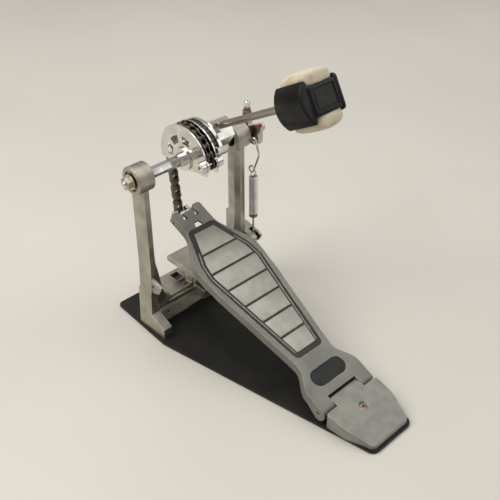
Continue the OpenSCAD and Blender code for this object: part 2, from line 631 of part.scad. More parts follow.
// ---------- beater ----------
// -Y runs along the rod, +Z points away from the axle
module rod_frame() at_axle() rotate([-rod_slope, 0, 0]) children();
module sector_face(r, a) difference() {
  cam_face(r);
  polygon([[0, -hub_barrel], [0, 0], 60 * [cos(a), sin(a)], [-60, -60], [0, -60]]);
}
module ring_bolt_place() at_axle() rotate([bolt_angle - 90, 0, 0])
  translate([ring_in + 3.1, 0, ring_r]) children();
module hub_ring() color("#2a2a2a") difference() {
  at_axle() along_x(ring_in, ring_in + 6.2) {
    sector_face(ring_r, ring_end + 8);
    circle(r = hub_barrel);
  }
  at_axle() rod_x(hex_af / sqrt(3) + 0.3, 0, 40);
  rod_x(barrel_r + gap, 0, 40, cam_point(wrap_links)[0], cam_point(wrap_links)[1]);
  ring_bolt_place() cylinder(r = 2.5, h = 24, center = true);
}
module beater_hub() color("#c2c2be") difference() {
  union() {
    at_axle() along_x(ring_in + 6.5, hub_in) sector_face(cam_r - 1, ring_end);
    at_axle() rod_x(hub_barrel, ring_in + 6.5, hub_out + 1);
    rod_frame() along_x(hub_in - eps, hub_out) polygon([[-hub_front, 5], [-hub_front, hub_top - 4],
      [-hub_front + 4, hub_top], [8, hub_top], [12, hub_top - 5], [12, 0], [0, -11], [-11, -5]]);
  }
  at_axle() rotate([0, 90, 0]) rotate([0, 0, 30]) cylinder(r = (hex_af + 2 * fit) / sqrt(3), h = 100, $fn = 6);
  rod_frame() translate([beater_x, 0, rod_offset]) rotate([90, 0, 0])
    cylinder(r = rod_d / 2 + fit, h = 80, center = true);
  rod_frame() translate([beater_x, -clamp_t, rod_offset]) rotate([0, 90, 0]) cylinder(r = 2.5, h = 20);
  rod_frame() translate([hub_in + 5, 0, -hub_barrel - 1]) cylinder(r = 2.5, h = 10);
  rod_frame() translate([hub_in + 5, 0, -hub_barrel - 7]) cylinder(r = 5, h = 7.3);
  // pocket in the front face
  rod_frame() box([hub_in + 1.5, -hub_front - 5, 13], [hub_in + 8, -hub_front + 7, 23.5]);
}
// a square-headed bolt: local +Z points out of the head, the stem goes down
module key_bolt(len, collar = 4.2) {
  translate([0, 0, -len]) cylinder(r = 2.45, h = len + 0.2);
  translate([0, 0, 0.1]) cylinder(r = collar, h = 1.2);
  translate([-2.5, -2.5, 1.2]) cube([5, 5, 5]);
}
module hub_screws() color("#c9c9c5") {
  rod_frame() translate([hub_out, -clamp_t, rod_offset]) rotate([0, 90, 0])
    key_bolt(hub_out - beater_x - rod_d / 2 - 0.3);
  rod_frame() translate([hub_in + 5, 0, -hub_barrel - 0.2]) rotate([180, 0, 0])
    key_bolt(hub_barrel - hex_af / sqrt(3) - 0.28);
  ring_bolt_place() key_bolt(9, 3);
}
module beater_rod() color("#c4beb2") rod_frame() translate([beater_x, 20, rod_offset]) rotate([90, 0, 0])
  cylinder(r = rod_d / 2, h = 20 + head_reach + 12);
// X runs across the pedal, -Y outward along the rod, Z to the drum
module head_frame() rod_frame() translate([beater_x, -head_reach, rod_offset]) children();
module beater_core() color("#1d1d1d") head_frame() difference() {
  union() {
    // rounded side
    translate([0, head_h / 2, 0]) rotate([90, 0, 0]) linear_extrude(head_h) difference() {
      intersection() {
        translate([2, 0]) circle(r = head_x + 2);
        translate([-60, -20]) square([48, 40]);
      }
    }
    box([-13, -head_h / 2 - 2, -core_n], [head_x - 2, head_h / 2 - 1, core_n]);
    // flat side
    box([head_x - 4, -head_h / 2 - 4, -core_n - 3], [head_x, head_h / 2 - 4, core_n + 3]);
  }
  rotate([90, 0, 0]) cylinder(r = rod_d / 2 + 0.02, h = 60, center = true);
}
module beater_felts() color("#e6dcc4") head_frame() for (m = [0, 1]) mirror([0, 0, m]) difference() {
  intersection() {
    translate([4, 0, 0]) rotate([90, 0, 0]) linear_extrude(head_h + 2, center = true) difference() {
      circle(r = 27);
      translate([-60, -60]) square([120, 60 + core_n]);
    }
    box([-12, -40, 0], [head_x - 4, 40, 60]);
  }
}

// ---------- spring ----------
module loop_x(r, y, z) translate([spring_x, y, z]) rotate([0, 90, 0]) rotate_extrude()
  translate([r, 0]) circle(r = stirrup_wire / 2);
module spring_rod(r, z0, z1) translate([spring_x, lug_y, z0]) cylinder(r = r, h = z1 - z0);
module spring_rocker() color("#bcbcb8") difference() {
  union() {
    at_axle() rod_x(9.2, rocker_in, rocker_out);
    at_axle() rod_x(11.5, spring_x + 3, rocker_out);
    at_axle() translate([rocker_bolt_x, 0, 0]) cylinder(r = 5.2, h = rocker_boss);
    at_axle() along_x(spring_x + 3, rocker_out) polygon([[-6, 9], [-22, 17], [-25, 15], [-25, 10], [-21, 5],
      [-21.5, -5],
      [-19.5, -9.5], [-12, -11.5], [-2, -11]]);
  }
  at_axle() rod_x(journal_d / 2 + 0.02, rocker_in - 1, rocker_out + 1);
  rod_x(rocker_pin_r + 0.02, rocker_in - 1, rocker_out + 1, lug_y, rocker_pin_z);
  at_axle() translate([rocker_bolt_x, 0, 0]) cylinder(r = 2.5, h = 30);
}
module rocker_bolt() color("#c9c9c5") at_axle() translate([rocker_bolt_x, 0, 0]) {
  translate([0, 0, journal_d / 2 + 0.1]) cylinder(r = 2.45, h = 28);
  translate([-2.6, -2.6, rocker_boss + 10]) cube([5.2, 5.2, 4.4]);
  translate([0, 0, rocker_boss + 14.3]) cylinder(r1 = 2.5, r2 = 1.4, h = 1.6);
}
module rocker_nut() color("#b07d5c") at_axle() translate([rocker_bolt_x, 0, rocker_boss + 0.1]) difference() {
  union() {
    cylinder(r = 5.2, h = 4.4, $fn = 6);
    translate([0, 0, 4.3]) cylinder(r1 = 4.3, r2 = 3.4, h = 3.6);
  }
  translate([0, 0, -1]) cylinder(r = 2.45, h = 12);
}
module rocker_pin() color("#cfcfca") rod_x(rocker_pin_r, spring_x - 2.4, rocker_out, lug_y, rocker_pin_z);
module spring_stirrup() color("#d2d2ce") {
  loop_x(eye_r, lug_y, rocker_pin_z);
  spring_rod(stirrup_wire / 2, spring_top - 4, rocker_pin_z - eye_r);
  spring_rod(spring_d / 2 - wire_d - 0.3, spring_top - 5, spring_top - 3);
}
module spring_coil() color("#d6d6d2") difference() {
  spring_rod(spring_d / 2, spring_bot, spring_top);
  spring_rod(spring_d / 2 - wire_d, spring_bot - 1, spring_top + 1);
}
module spring_hook() color("#d2d2ce") {
  loop_x(hook_r, lug_y, lug_z);
  spring_rod(stirrup_wire / 2, lug_z + hook_r, spring_bot + 4);
  spring_rod(spring_d / 2 - wire_d, spring_bot + 2, spring_bot + 5);
}
module spring_anchor_pin() color("#9f9a90") rod_x(2, spring_x - 8, spring_x + 5.5, lug_y, lug_z);

base_plate();
rubber_pads();
left_post();
right_post();
crossbar();
post_screws();
crossbar_screws();
hoop_jaw();
jaw_pin();
jaw_rubber();
wing_bolt();
heel_plate();
heel_screw();
hinge_pin();
footboard();
tread_infill();
badge_infill();
toe_pin();
chain_clevis();
hex_axle();
bearing_outer_races();
bearing_balls();
bearing_inner_races();
axle_washers();
axle_nuts();
cam_wheel();
cam_felt();
cam_screw();
chain_anchor();
chain_wrapped();
chain_link_a();
chain_link_b();
chain_link_c();
chain_link_d();
chain_run();
hub_ring();
beater_hub();
hub_screws();
beater_rod();
beater_core();
beater_felts();
spring_rocker();
rocker_bolt();
rocker_nut();
rocker_pin();
spring_stirrup();
spring_coil();
spring_hook();
spring_anchor_pin();
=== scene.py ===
"""Looks of a chain-drive bass drum pedal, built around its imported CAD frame."""

import json
import logging
import math
from dataclasses import dataclass, field, replace
from enum import Enum
from typing import Iterable, Optional, Sequence

import bmesh
import bpy
from mathutils import Matrix, Vector, noise


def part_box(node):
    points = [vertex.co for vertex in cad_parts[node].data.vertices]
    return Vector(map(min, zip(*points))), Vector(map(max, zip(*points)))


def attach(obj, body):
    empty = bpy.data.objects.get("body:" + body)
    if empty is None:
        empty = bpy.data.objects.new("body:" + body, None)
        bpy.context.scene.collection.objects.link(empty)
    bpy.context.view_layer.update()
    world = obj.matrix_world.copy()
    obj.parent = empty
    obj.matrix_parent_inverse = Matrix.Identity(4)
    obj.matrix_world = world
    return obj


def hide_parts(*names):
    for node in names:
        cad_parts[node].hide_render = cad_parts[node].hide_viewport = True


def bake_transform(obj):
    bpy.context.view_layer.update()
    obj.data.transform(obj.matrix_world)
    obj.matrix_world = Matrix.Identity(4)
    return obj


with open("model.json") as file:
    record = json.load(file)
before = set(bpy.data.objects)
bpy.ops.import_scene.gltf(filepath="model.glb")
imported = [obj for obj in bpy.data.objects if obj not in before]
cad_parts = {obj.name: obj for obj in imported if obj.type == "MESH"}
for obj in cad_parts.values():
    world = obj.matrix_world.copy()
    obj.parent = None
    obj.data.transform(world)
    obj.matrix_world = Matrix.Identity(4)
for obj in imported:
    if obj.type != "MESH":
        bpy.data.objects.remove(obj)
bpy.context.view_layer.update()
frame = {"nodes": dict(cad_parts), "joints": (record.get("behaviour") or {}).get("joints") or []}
LOG = logging.getLogger("pedal")
MM = 0.001
Point = tuple[float, float, float]
Colour = tuple[float, float, float]
Span = tuple[float, float]
AXIS_X = Vector((1, 0, 0))
AXIS_Y = Vector((0, 1, 0))
AXIS_Z = Vector((0, 0, 1))
# a scratch pattern is turned about all three axes, by these shares of its angle
SKEW = (1.0, 0.6, 1.3)
# how well the softened and the true normal agree on a flat face and on a full corner
CORNER: Span = (0.985, 0.86)
# vertices nearer than this are one, in metres
MERGE = 1e-6
# faces that meet at less than this are shaded smooth, in degrees
SMOOTH_ANGLE = 40.0


# ---------------------------------------------------------------- finishes
class Surface(Enum):
    """The kinds of surface that a finish can be."""

    METAL = "metal"
    PAINT = "paint"
    PLASTIC = "plastic"
    FELT = "felt"


@dataclass(frozen=True)
class Finish:
    """One finish: its colours, its gloss, its grain and the wear on it.

    Mottle and grain are noise scales in cells per metre, and edge_radius is in metres.
    """

    name: str
    surface: Surface
    base: Colour
    second: Colour
    rough: Span
    mottle: float = 60.0
    grain: float = 900.0
    grain_depth: float = 0.08
    scratches: float = 0.3
    edge: Optional[Colour] = None
    edge_amount: float = 0.0
    edge_radius: float = 0.0007
    # colour laid in the hollows that ambient occlusion finds: part grime, part painted shade
    grime_and_shade: Optional[Colour] = None
    grime_and_shade_amount: float = 0.0
    shine: float = 0.5


@dataclass(frozen=True)
class Weathering:
    """What the hard finishes share: scales in cells per metre, spans of noise, strengths, reaches in metres."""

    patches: Span = (0.32, 0.68)
    speck_scale: float = 7.0
    specks: Span = (0.52, 0.78)
    speck_strength: float = 0.35
    speck_tone: float = 0.72
    scratch_scale: float = 120.0
    scratch_stretch: Point = (9.0, 1.0, 1.0)
    scratch_turn: float = 0.5
    scratch_lines: Span = (0.63, 0.70)
    scratch_rough: float = 0.3
    scratch_shine: float = 0.4
    scratch_height: float = -0.8
    gloss_scale: float = 1.7
    gloss: Span = (0.3, 0.7)
    wear_scale: float = 190.0
    wear: Span = (0.36, 0.6)
    least_wear: float = 0.2
    # ambient occlusion finds the hollows; the darkening there is grime and painted shade
    hollow_reach: float = 0.006
    hollows: Span = (0.75, 0.2)
    grime_and_shade_scale: float = 150.0
    grime_and_shade: Span = (0.3, 0.6)
    least_grime_and_shade: float = 0.4
    coat: float = 0.2
    coat_rough: float = 0.3
    grain_reach: float = 0.0006


@dataclass(frozen=True)
class Wool:
    """What the felts share: scales in cells per metre, spans of noise, strengths, reach in metres."""

    stains: Span = (0.46, 0.74)
    fibre_scale: float = 420.0
    fibre_stretch: Point = (1.0, 1.0, 2.2)
    fibre_turn: float = 0.4
    fibres: Span = (0.4, 0.66)
    fibre_strength: float = 0.4
    fibre_tone: float = 1.15
    speck_scale: float = 640.0
    specks: Span = (0.66, 0.76)
    speck_strength: float = 0.5
    speck_tone: float = 0.5
    gloss: Span = (0.3, 0.7)
    sheen: float = 0.35
    sheen_rough: float = 0.5
    shine: float = 0.15
    tuft_share: float = 0.5
    tuft_reach: float = 0.0012


ALLOY = Finish(
    name="cast_alloy", surface=Surface.METAL,
    base=(0.50, 0.47, 0.41), second=(0.36, 0.335, 0.285), rough=(0.3, 0.52),
    mottle=45, grain=700, grain_depth=0.10, scratches=0.3,
    edge=(0.74, 0.71, 0.65), edge_amount=0.7, edge_radius=0.0009,
    grime_and_shade=(0.09, 0.075, 0.055), grime_and_shade_amount=0.55,
)
PLATED = Finish(
    name="plated_alloy", surface=Surface.METAL,
    base=(0.60, 0.575, 0.53), second=(0.46, 0.435, 0.39), rough=(0.2, 0.38),
    mottle=60, grain=1500, grain_depth=0.02, scratches=0.2,
    edge=(0.82, 0.80, 0.76), edge_amount=0.5, edge_radius=0.0006,
    grime_and_shade=(0.14, 0.11, 0.08), grime_and_shade_amount=0.45,
)
BOARD_PAINT = Finish(
    name="board_alloy", surface=Surface.PAINT,
    base=(0.205, 0.204, 0.178), second=(0.152, 0.151, 0.13), rough=(0.34, 0.5),
    mottle=34, grain=1500, grain_depth=0.10, scratches=0.2,
    edge=(0.60, 0.58, 0.53), edge_amount=0.95, edge_radius=0.0011,
    grime_and_shade=(0.045, 0.042, 0.036), grime_and_shade_amount=0.55,
)
HEEL_PAINT = replace(
    BOARD_PAINT,
    name="heel_alloy",
    base=(0.25, 0.249, 0.22), second=(0.2, 0.199, 0.176),
    mottle=90,
    edge_radius=0.0013,
)
PANEL = Finish(
    name="bare_panel", surface=Surface.METAL,
    base=(0.45, 0.444, 0.396), second=(0.40, 0.394, 0.348), rough=(0.5, 0.62),
    mottle=80, grain=1300, grain_depth=0.10, scratches=0.15,
    edge=(0.78, 0.76, 0.72), edge_amount=0.9, edge_radius=0.0006,
    grime_and_shade=(0.16, 0.15, 0.13), grime_and_shade_amount=0.3,
)
INFILL = Finish(
    name="infill", surface=Surface.PAINT,
    base=(0.03, 0.029, 0.024), second=(0.047, 0.045, 0.038), rough=(0.5, 0.7),
    mottle=60, grain=1400, grain_depth=0.12, scratches=0.10,
    edge=(0.16, 0.155, 0.14), edge_amount=0.3, edge_radius=0.0004,
    grime_and_shade=(0.02, 0.019, 0.017), grime_and_shade_amount=0.4,
    shine=0.3,
)
BADGE = replace(
    INFILL,
    name="badge",
    base=(0.014, 0.0135, 0.012), second=(0.022, 0.021, 0.019),
    edge=(0.08, 0.078, 0.07),
)
BLACK_PLATE = Finish(
    name="black_plate", surface=Surface.PAINT,
    base=(0.0075, 0.0072, 0.0062), second=(0.015, 0.0142, 0.0122), rough=(0.5, 0.68),
    mottle=26, grain=1100, grain_depth=0.06, scratches=0.25,
    edge=(0.11, 0.105, 0.09), edge_amount=0.5, edge_radius=0.0006,
    grime_and_shade=(0.03, 0.027, 0.021), grime_and_shade_amount=0.15,
    shine=0.28,
)
RUBBER = Finish(
    name="rubber", surface=Surface.PLASTIC,
    base=(0.02, 0.02, 0.02), second=(0.03, 0.03, 0.028), rough=(0.7, 0.85),
    mottle=50, grain=1500, grain_depth=0.15, scratches=0.05,
)
CHROME = Finish(
    name="chrome", surface=Surface.METAL,
    base=(0.75, 0.74, 0.71), second=(0.62, 0.60, 0.56), rough=(0.08, 0.22),
    mottle=70, grain=1800, grain_depth=0.008, scratches=0.12,
    edge=(0.9, 0.89, 0.87), edge_amount=0.3, edge_radius=0.0005,
    grime_and_shade=(0.20, 0.16, 0.11), grime_and_shade_amount=0.4,
)
BRIGHT_COIL = replace(
    CHROME,
    name="spring_wire",
    base=(0.84, 0.83, 0.81), second=(0.74, 0.73, 0.70),
    grime_and_shade=None,
)
STEEL = Finish(
    name="steel", surface=Surface.METAL,
    base=(0.52, 0.475, 0.40), second=(0.40, 0.36, 0.295), rough=(0.2, 0.34),
    mottle=60, grain=1500, grain_depth=0.015, scratches=0.2,
    edge=(0.75, 0.72, 0.66), edge_amount=0.3, edge_radius=0.0005,
    grime_and_shade=(0.12, 0.08, 0.05), grime_and_shade_amount=0.4,
)
ROD_STEEL = replace(
    STEEL,
    name="rod_steel",
    base=(0.50, 0.45, 0.37), second=(0.44, 0.39, 0.31), rough=(0.3, 0.36),
    grain_depth=0.004, scratches=0.08,
    edge=None,
    grime_and_shade=None,
)
RUSTY = Finish(
    name="rusty_steel", surface=Surface.METAL,
    base=(0.38, 0.31, 0.25), second=(0.21, 0.125, 0.08), rough=(0.35, 0.7),
    mottle=220, grain=1400, grain_depth=0.15, scratches=0.3,
    edge=(0.6, 0.55, 0.47), edge_amount=0.5, edge_radius=0.0005,
    grime_and_shade=(0.05, 0.03, 0.02), grime_and_shade_amount=0.5,
)
HEEL_SCREW = replace(
    RUSTY,
    name="heel_screw",
    edge=(0.85, 0.82, 0.75), edge_amount=1.0, edge_radius=0.0011,
)
YELLOW = Finish(
    name="yellow_zinc", surface=Surface.METAL,
    base=(0.46, 0.35, 0.15), second=(0.34, 0.26, 0.13), rough=(0.25, 0.42),
    mottle=150, grain=1400, grain_depth=0.04, scratches=0.25,
    edge=(0.75, 0.66, 0.44), edge_amount=0.5, edge_radius=0.0004,
    grime_and_shade=(0.06, 0.045, 0.03), grime_and_shade_amount=0.6,
)
CHAIN = Finish(
    name="chain_steel", surface=Surface.METAL,
    base=(0.15, 0.135, 0.115), second=(0.085, 0.068, 0.052), rough=(0.25, 0.5),
    mottle=260, grain=1500, grain_depth=0.12, scratches=0.35,
    edge=(0.66, 0.62, 0.56), edge_amount=0.8, edge_radius=0.0003,
    grime_and_shade=(0.02, 0.016, 0.012), grime_and_shade_amount=0.6,
)
BLACK_PLASTIC = Finish(
    name="black_plastic", surface=Surface.PLASTIC,
    base=(0.0052, 0.0048, 0.004), second=(0.0088, 0.0082, 0.0068), rough=(0.2, 0.34),
    mottle=40, grain=1600, grain_depth=0.012, scratches=0.12,
    edge=(0.03, 0.029, 0.027), edge_amount=0.3, edge_radius=0.0009,
    shine=0.26,
)
DARK_RING = Finish(
    name="dark_ring", surface=Surface.PAINT,
    base=(0.03, 0.03, 0.029), second=(0.055, 0.052, 0.047), rough=(0.35, 0.55),
    mottle=90, grain=1400, grain_depth=0.1, scratches=0.3,
    edge=(0.42, 0.41, 0.38), edge_amount=0.7, edge_radius=0.0005,
    grime_and_shade=(0.01, 0.009, 0.008), grime_and_shade_amount=0.4,
)
FELT = Finish(
    name="felt", surface=Surface.FELT,
    base=(0.63, 0.55, 0.42), second=(0.44, 0.34, 0.215), rough=(0.88, 0.98),
    mottle=62, grain=1700, grain_depth=0.5, scratches=0.0,
)
DARK_FELT = Finish(
    name="dark_felt", surface=Surface.FELT,
    base=(0.03, 0.027, 0.022), second=(0.05, 0.04, 0.03), rough=(0.9, 1.0),
    mottle=90, grain=1700, grain_depth=0.4, scratches=0.0,
)
RED_MARK = Finish(
    name="red_mark", surface=Surface.PAINT,
    base=(0.42, 0.012, 0.012), second=(0.30, 0.01, 0.01), rough=(0.3, 0.45),
    mottle=200, grain=1600, grain_depth=0.05, scratches=0.2,
    edge=(0.6, 0.2, 0.18), edge_amount=0.3, edge_radius=0.0003,
)

class Graph:
    """A small builder for one node material, in Object coordinates."""

    def __init__(self, name: str) -> None:
        """Start an empty material with its shader."""
        self.material = bpy.data.materials.new(name)
        self.material.use_nodes = True
        self.tree = self.material.node_tree
        self.shader = next(n for n in self.tree.nodes if n.type == "BSDF_PRINCIPLED")
        self.place = self.add("ShaderNodeTexCoord").outputs["Object"]

    def add(self, kind: str, **settings: object) -> bpy.types.Node:
        """Add a node.

        Args:
            kind: the node's type name.
            settings: properties to set on it.

        Returns:
            The new node.
        """
        node = self.tree.nodes.new(kind)
        for key, value in settings.items():
            setattr(node, key, value)
        return node

    def join(self, source: object, target: bpy.types.NodeSocket) -> None:
        """Link a socket to an input, or set the input's own value.

        Args:
            source: a socket or a value.
            target: the input that takes it.
        """
        if isinstance(source, bpy.types.NodeSocket):
            self.tree.links.new(source, target)
        else:
            target.default_value = source

    def noise(self, scale: float, detail: float = 4.0, stretch: Optional[Point] = None,
              turn: float = 0.0) -> bpy.types.NodeSocket:
        """Noise from 0 to 1.

        Args:
            scale: cells per metre.
            detail: octaves of finer noise.
            stretch: scale along each axis, for brushed or scratched looks.
            turn: angle in radians that turns a stretched pattern.

        Returns:
            The value socket.
        """
        place = self.place
        if stretch is not None:
            mapping = self.add("ShaderNodeMapping")
            mapping.inputs["Scale"].default_value = stretch
            mapping.inputs["Rotation"].default_value = tuple(turn * share for share in SKEW)
            self.join(place, mapping.inputs["Vector"])
            place = mapping.outputs["Vector"]
        node = self.add("ShaderNodeTexNoise")
        node.inputs["Scale"].default_value = scale
        node.inputs["Detail"].default_value = detail
        self.join(place, node.inputs["Vector"])
        return node.outputs["Fac"]

    def span(self, value: bpy.types.NodeSocket, reach: Span, result: Span = (0.0, 1.0)) -> bpy.types.NodeSocket:
        """Map a value's range smoothly to another.

        Args:
            value: the socket to map.
            reach: the values that give the first and the last result.
            result: the first and the last result.

        Returns:
            The mapped socket.
        """
        node = self.add("ShaderNodeMapRange", interpolation_type="SMOOTHSTEP")
        self.join(value, node.inputs["Value"])
        for key, number in zip(("From Min", "From Max", "To Min", "To Max"), (*reach, *result)):
            node.inputs[key].default_value = number
        return node.outputs["Result"]

    def maths(self, how: str, first: object, second: object) -> bpy.types.NodeSocket:
        """Combine two values.

        Args:
            how: the Math node's operation.
            first: its first value or socket.
            second: its second value or socket.

        Returns:
            The result's socket.
        """
        node = self.add("ShaderNodeMath", operation=how)
        self.join(first, node.inputs[0])
        self.join(second, node.inputs[1])
        return node.outputs["Value"]

    def blend(self, amount: object, first: object, second: object) -> bpy.types.NodeSocket:
        """Mix two colours.

        Args:
            amount: how much of the second, as a value or a socket.
            first: a colour or its socket.
            second: a colour or its socket.

        Returns:
            The mixed colour's socket.
        """
        node = self.add("ShaderNodeMix", data_type="RGBA")
        self.join(amount, node.inputs[0])
        for source, target in ((first, node.inputs[6]), (second, node.inputs[7])):
            self.join(source if isinstance(source, bpy.types.NodeSocket) else (*source, 1.0), target)
        return node.outputs[2]

    def edges(self, radius: float) -> tuple[bpy.types.NodeSocket, bpy.types.NodeSocket]:
        """Soften corners.

        Args:
            radius: how far from a corner its rounding reaches, in metres.

        Returns:
            The softened normal and a mask that is 1 along corners.
        """
        bevel = self.add("ShaderNodeBevel", samples=4)
        bevel.inputs["Radius"].default_value = radius
        geometry = self.add("ShaderNodeNewGeometry")
        dot = self.add("ShaderNodeVectorMath", operation="DOT_PRODUCT")
        self.join(bevel.outputs["Normal"], dot.inputs[0])
        self.join(geometry.outputs["Normal"], dot.inputs[1])
        return bevel.outputs["Normal"], self.span(dot.outputs["Value"], CORNER)

    def hollows(self, reach: float) -> bpy.types.NodeSocket:
        """How open the surface is, less in hollows.

        Args:
            reach: how far off a face still makes a hollow, in metres.

        Returns:
            The socket, 1 where the surface is open.
        """
        node = self.add("ShaderNodeAmbientOcclusion", samples=4)
        node.inputs["Distance"].default_value = reach
        return node.outputs["AO"]

    def bump(self, height: bpy.types.NodeSocket, strength: float, distance: float,
             normal: Optional[bpy.types.NodeSocket]) -> None:
        """Give the shader a bumpy normal.

        Args:
            height: the height socket.
            strength: how strong, from 0 to 1.
            distance: depth of the bump in metres.
            normal: normal that the bump starts from.
        """
        node = self.add("ShaderNodeBump")
        node.inputs["Strength"].default_value = strength
        node.inputs["Distance"].default_value = distance
        self.join(height, node.inputs["Height"])
        if normal is not None:
            self.join(normal, node.inputs["Normal"])
        self.join(node.outputs["Normal"], self.shader.inputs["Normal"])


def toned(colour: Colour, share: float) -> Colour:
    """A colour made darker or lighter by a share, none of its parts over 1."""
    return tuple(min(1.0, part * share) for part in colour)


class Finisher:
    """Makes each finish's material once and puts it on pieces."""

    def __init__(self) -> None:
        """Start with no materials made."""
        self.made: dict[str, bpy.types.Material] = {}
        self.weathering = Weathering()
        self.wool = Wool()

    def material(self, finish: Finish) -> bpy.types.Material:
        """Return the material of a finish, making it the first time.

        Args:
            finish: the finish.

        Returns:
            Its material.
        """
        if finish.name not in self.made:
            make = self._felt if finish.surface is Surface.FELT else self._hard
            self.made[finish.name] = make(finish)
        return self.made[finish.name]

    def _mottled(self, graph: Graph, finish: Finish) -> bpy.types.NodeSocket:
        """The finish's two colours in soft patches, with darker specks.

        Args:
            graph: the material being built.
            finish: its finish.

        Returns:
            The colour's socket.
        """
        use = self.weathering
        patches = graph.span(graph.noise(finish.mottle, 6.0), use.patches)
        colour = graph.blend(patches, finish.base, finish.second)
        specks = graph.noise(finish.mottle * use.speck_scale, 3.0)
        specks = graph.span(specks, use.specks, (0.0, use.speck_strength))
        return graph.blend(specks, colour, toned(finish.base, use.speck_tone))

    def _gloss(self, graph: Graph, finish: Finish, scratch: bpy.types.NodeSocket) -> bpy.types.NodeSocket:
        """The finish's uneven roughness, higher in scratches.

        Args:
            graph: the material being built.
            finish: its finish.
            scratch: the scratches' mask.

        Returns:
            The roughness socket.
        """
        use = self.weathering
        rough = graph.span(graph.noise(finish.mottle * use.gloss_scale, 5.0), use.gloss, finish.rough)
        return graph.maths("ADD", rough, graph.maths("MULTIPLY", scratch, use.scratch_rough))

    def _worn(self, graph: Graph, finish: Finish, colour: bpy.types.NodeSocket,
              scratch: bpy.types.NodeSocket) -> tuple[bpy.types.NodeSocket, bpy.types.NodeSocket]:
        """Wear the corners and the scratches bright.

        Args:
            graph: the material being built.
            finish: its finish, which has an edge colour.
            colour: the colour so far.
            scratch: the scratches' mask.

        Returns:
            The worn colour and the softened normal.
        """
        use = self.weathering
        normal, corner = graph.edges(finish.edge_radius)
        uneven = graph.span(graph.noise(use.wear_scale, 5.0), use.wear, (use.least_wear, finish.edge_amount))
        colour = graph.blend(graph.maths("MULTIPLY", corner, uneven), colour, finish.edge)
        colour = graph.blend(graph.maths("MULTIPLY", scratch, use.scratch_shine), colour, finish.edge)
        return colour, normal

    def _grimy_and_shaded(self, graph: Graph, finish: Finish, colour: bpy.types.NodeSocket) -> bpy.types.NodeSocket:
        """The colour darkened unevenly in its hollows, found by ambient occlusion: grime and painted shade.

        Args:
            graph: the material being built.
            finish: its finish, which has a colour for grime and painted shade.
            colour: the colour so far.

        Returns:
            The socket of the colour with grime and painted shade.
        """
        use = self.weathering
        # ambient occlusion darkens the colour in hollows: painted shade, with grime mixed in
        shade_and_grime_mask = graph.span(graph.hollows(use.hollow_reach), use.hollows, (0.0, finish.grime_and_shade_amount))
        uneven = graph.span(graph.noise(use.grime_and_shade_scale, 4.0), use.grime_and_shade, (use.least_grime_and_shade, 1.0))
        return graph.blend(graph.maths("MULTIPLY", shade_and_grime_mask, uneven), colour, finish.grime_and_shade)

    def _hard(self, finish: Finish) -> bpy.types.Material:
        """Make metal, paint or plastic with mottle, scratches, worn corners, and grime with painted shade in
        hollows.

        Args:
            finish: the finish to make.

        Returns:
            Its material.
        """
        graph = Graph(finish.name)
        use = self.weathering
        scratch = graph.noise(use.scratch_scale, 3.0, use.scratch_stretch, use.scratch_turn)
        scratch = graph.span(scratch, use.scratch_lines, (0.0, finish.scratches))
        colour = self._mottled(graph, finish)
        normal = None
        if finish.edge is not None:
            colour, normal = self._worn(graph, finish, colour, scratch)
        # grime and painted shade in the hollows
        if finish.grime_and_shade is not None:
            colour = self._grimy_and_shaded(graph, finish, colour)
        graph.join(colour, graph.shader.inputs["Base Color"])
        graph.join(self._gloss(graph, finish, scratch), graph.shader.inputs["Roughness"])
        graph.shader.inputs["Metallic"].default_value = 1.0 if finish.surface is Surface.METAL else 0.0
        graph.shader.inputs["Specular IOR Level"].default_value = finish.shine
        if finish.surface is Surface.PAINT:
            graph.shader.inputs["Coat Weight"].default_value = use.coat * finish.shine
            graph.shader.inputs["Coat Roughness"].default_value = use.coat_rough
        dents = graph.maths("MULTIPLY", scratch, use.scratch_height)
        height = graph.maths("ADD", graph.noise(finish.grain, 3.0), dents)
        graph.bump(height, finish.grain_depth, use.grain_reach, normal)
        return graph.material

    def _felt(self, finish: Finish) -> bpy.types.Material:
        """Make pressed wool with stains, tufts and a soft sheen.

        Args:
            finish: the finish to make.

        Returns:
            Its material.
        """
        graph = Graph(finish.name)
        use = self.wool
        stain = graph.span(graph.noise(finish.mottle, 5.0), use.stains)
        colour = graph.blend(stain, finish.base, finish.second)
        fibre = graph.noise(use.fibre_scale, 8.0, use.fibre_stretch, use.fibre_turn)
        lit = graph.span(fibre, use.fibres, (0.0, use.fibre_strength))
        colour = graph.blend(lit, colour, toned(finish.base, use.fibre_tone))
        specks = graph.span(graph.noise(use.speck_scale, 2.0), use.specks, (0.0, use.speck_strength))
        colour = graph.blend(specks, colour, toned(finish.second, use.speck_tone))
        graph.join(colour, graph.shader.inputs["Base Color"])
        graph.join(graph.span(fibre, use.gloss, finish.rough), graph.shader.inputs["Roughness"])
        graph.shader.inputs["Sheen Weight"].default_value = use.sheen
        graph.shader.inputs["Sheen Roughness"].default_value = use.sheen_rough
        graph.shader.inputs["Specular IOR Level"].default_value = use.shine
        tuft = graph.maths("MULTIPLY", graph.noise(finish.grain, 4.0), use.tuft_share)
        graph.bump(graph.maths("ADD", fibre, tuft), finish.grain_depth, use.tuft_reach, None)
        return graph.material

    def dress(self, obj: bpy.types.Object, finish: Finish) -> None:
        """Put a finish on every material slot of a piece.

        Args:
            obj: the piece.
            finish: its finish.
        """
        material = self.material(finish)
        if not obj.material_slots:
            obj.data.materials.append(material)
        for slot in obj.material_slots:
            slot.material = material


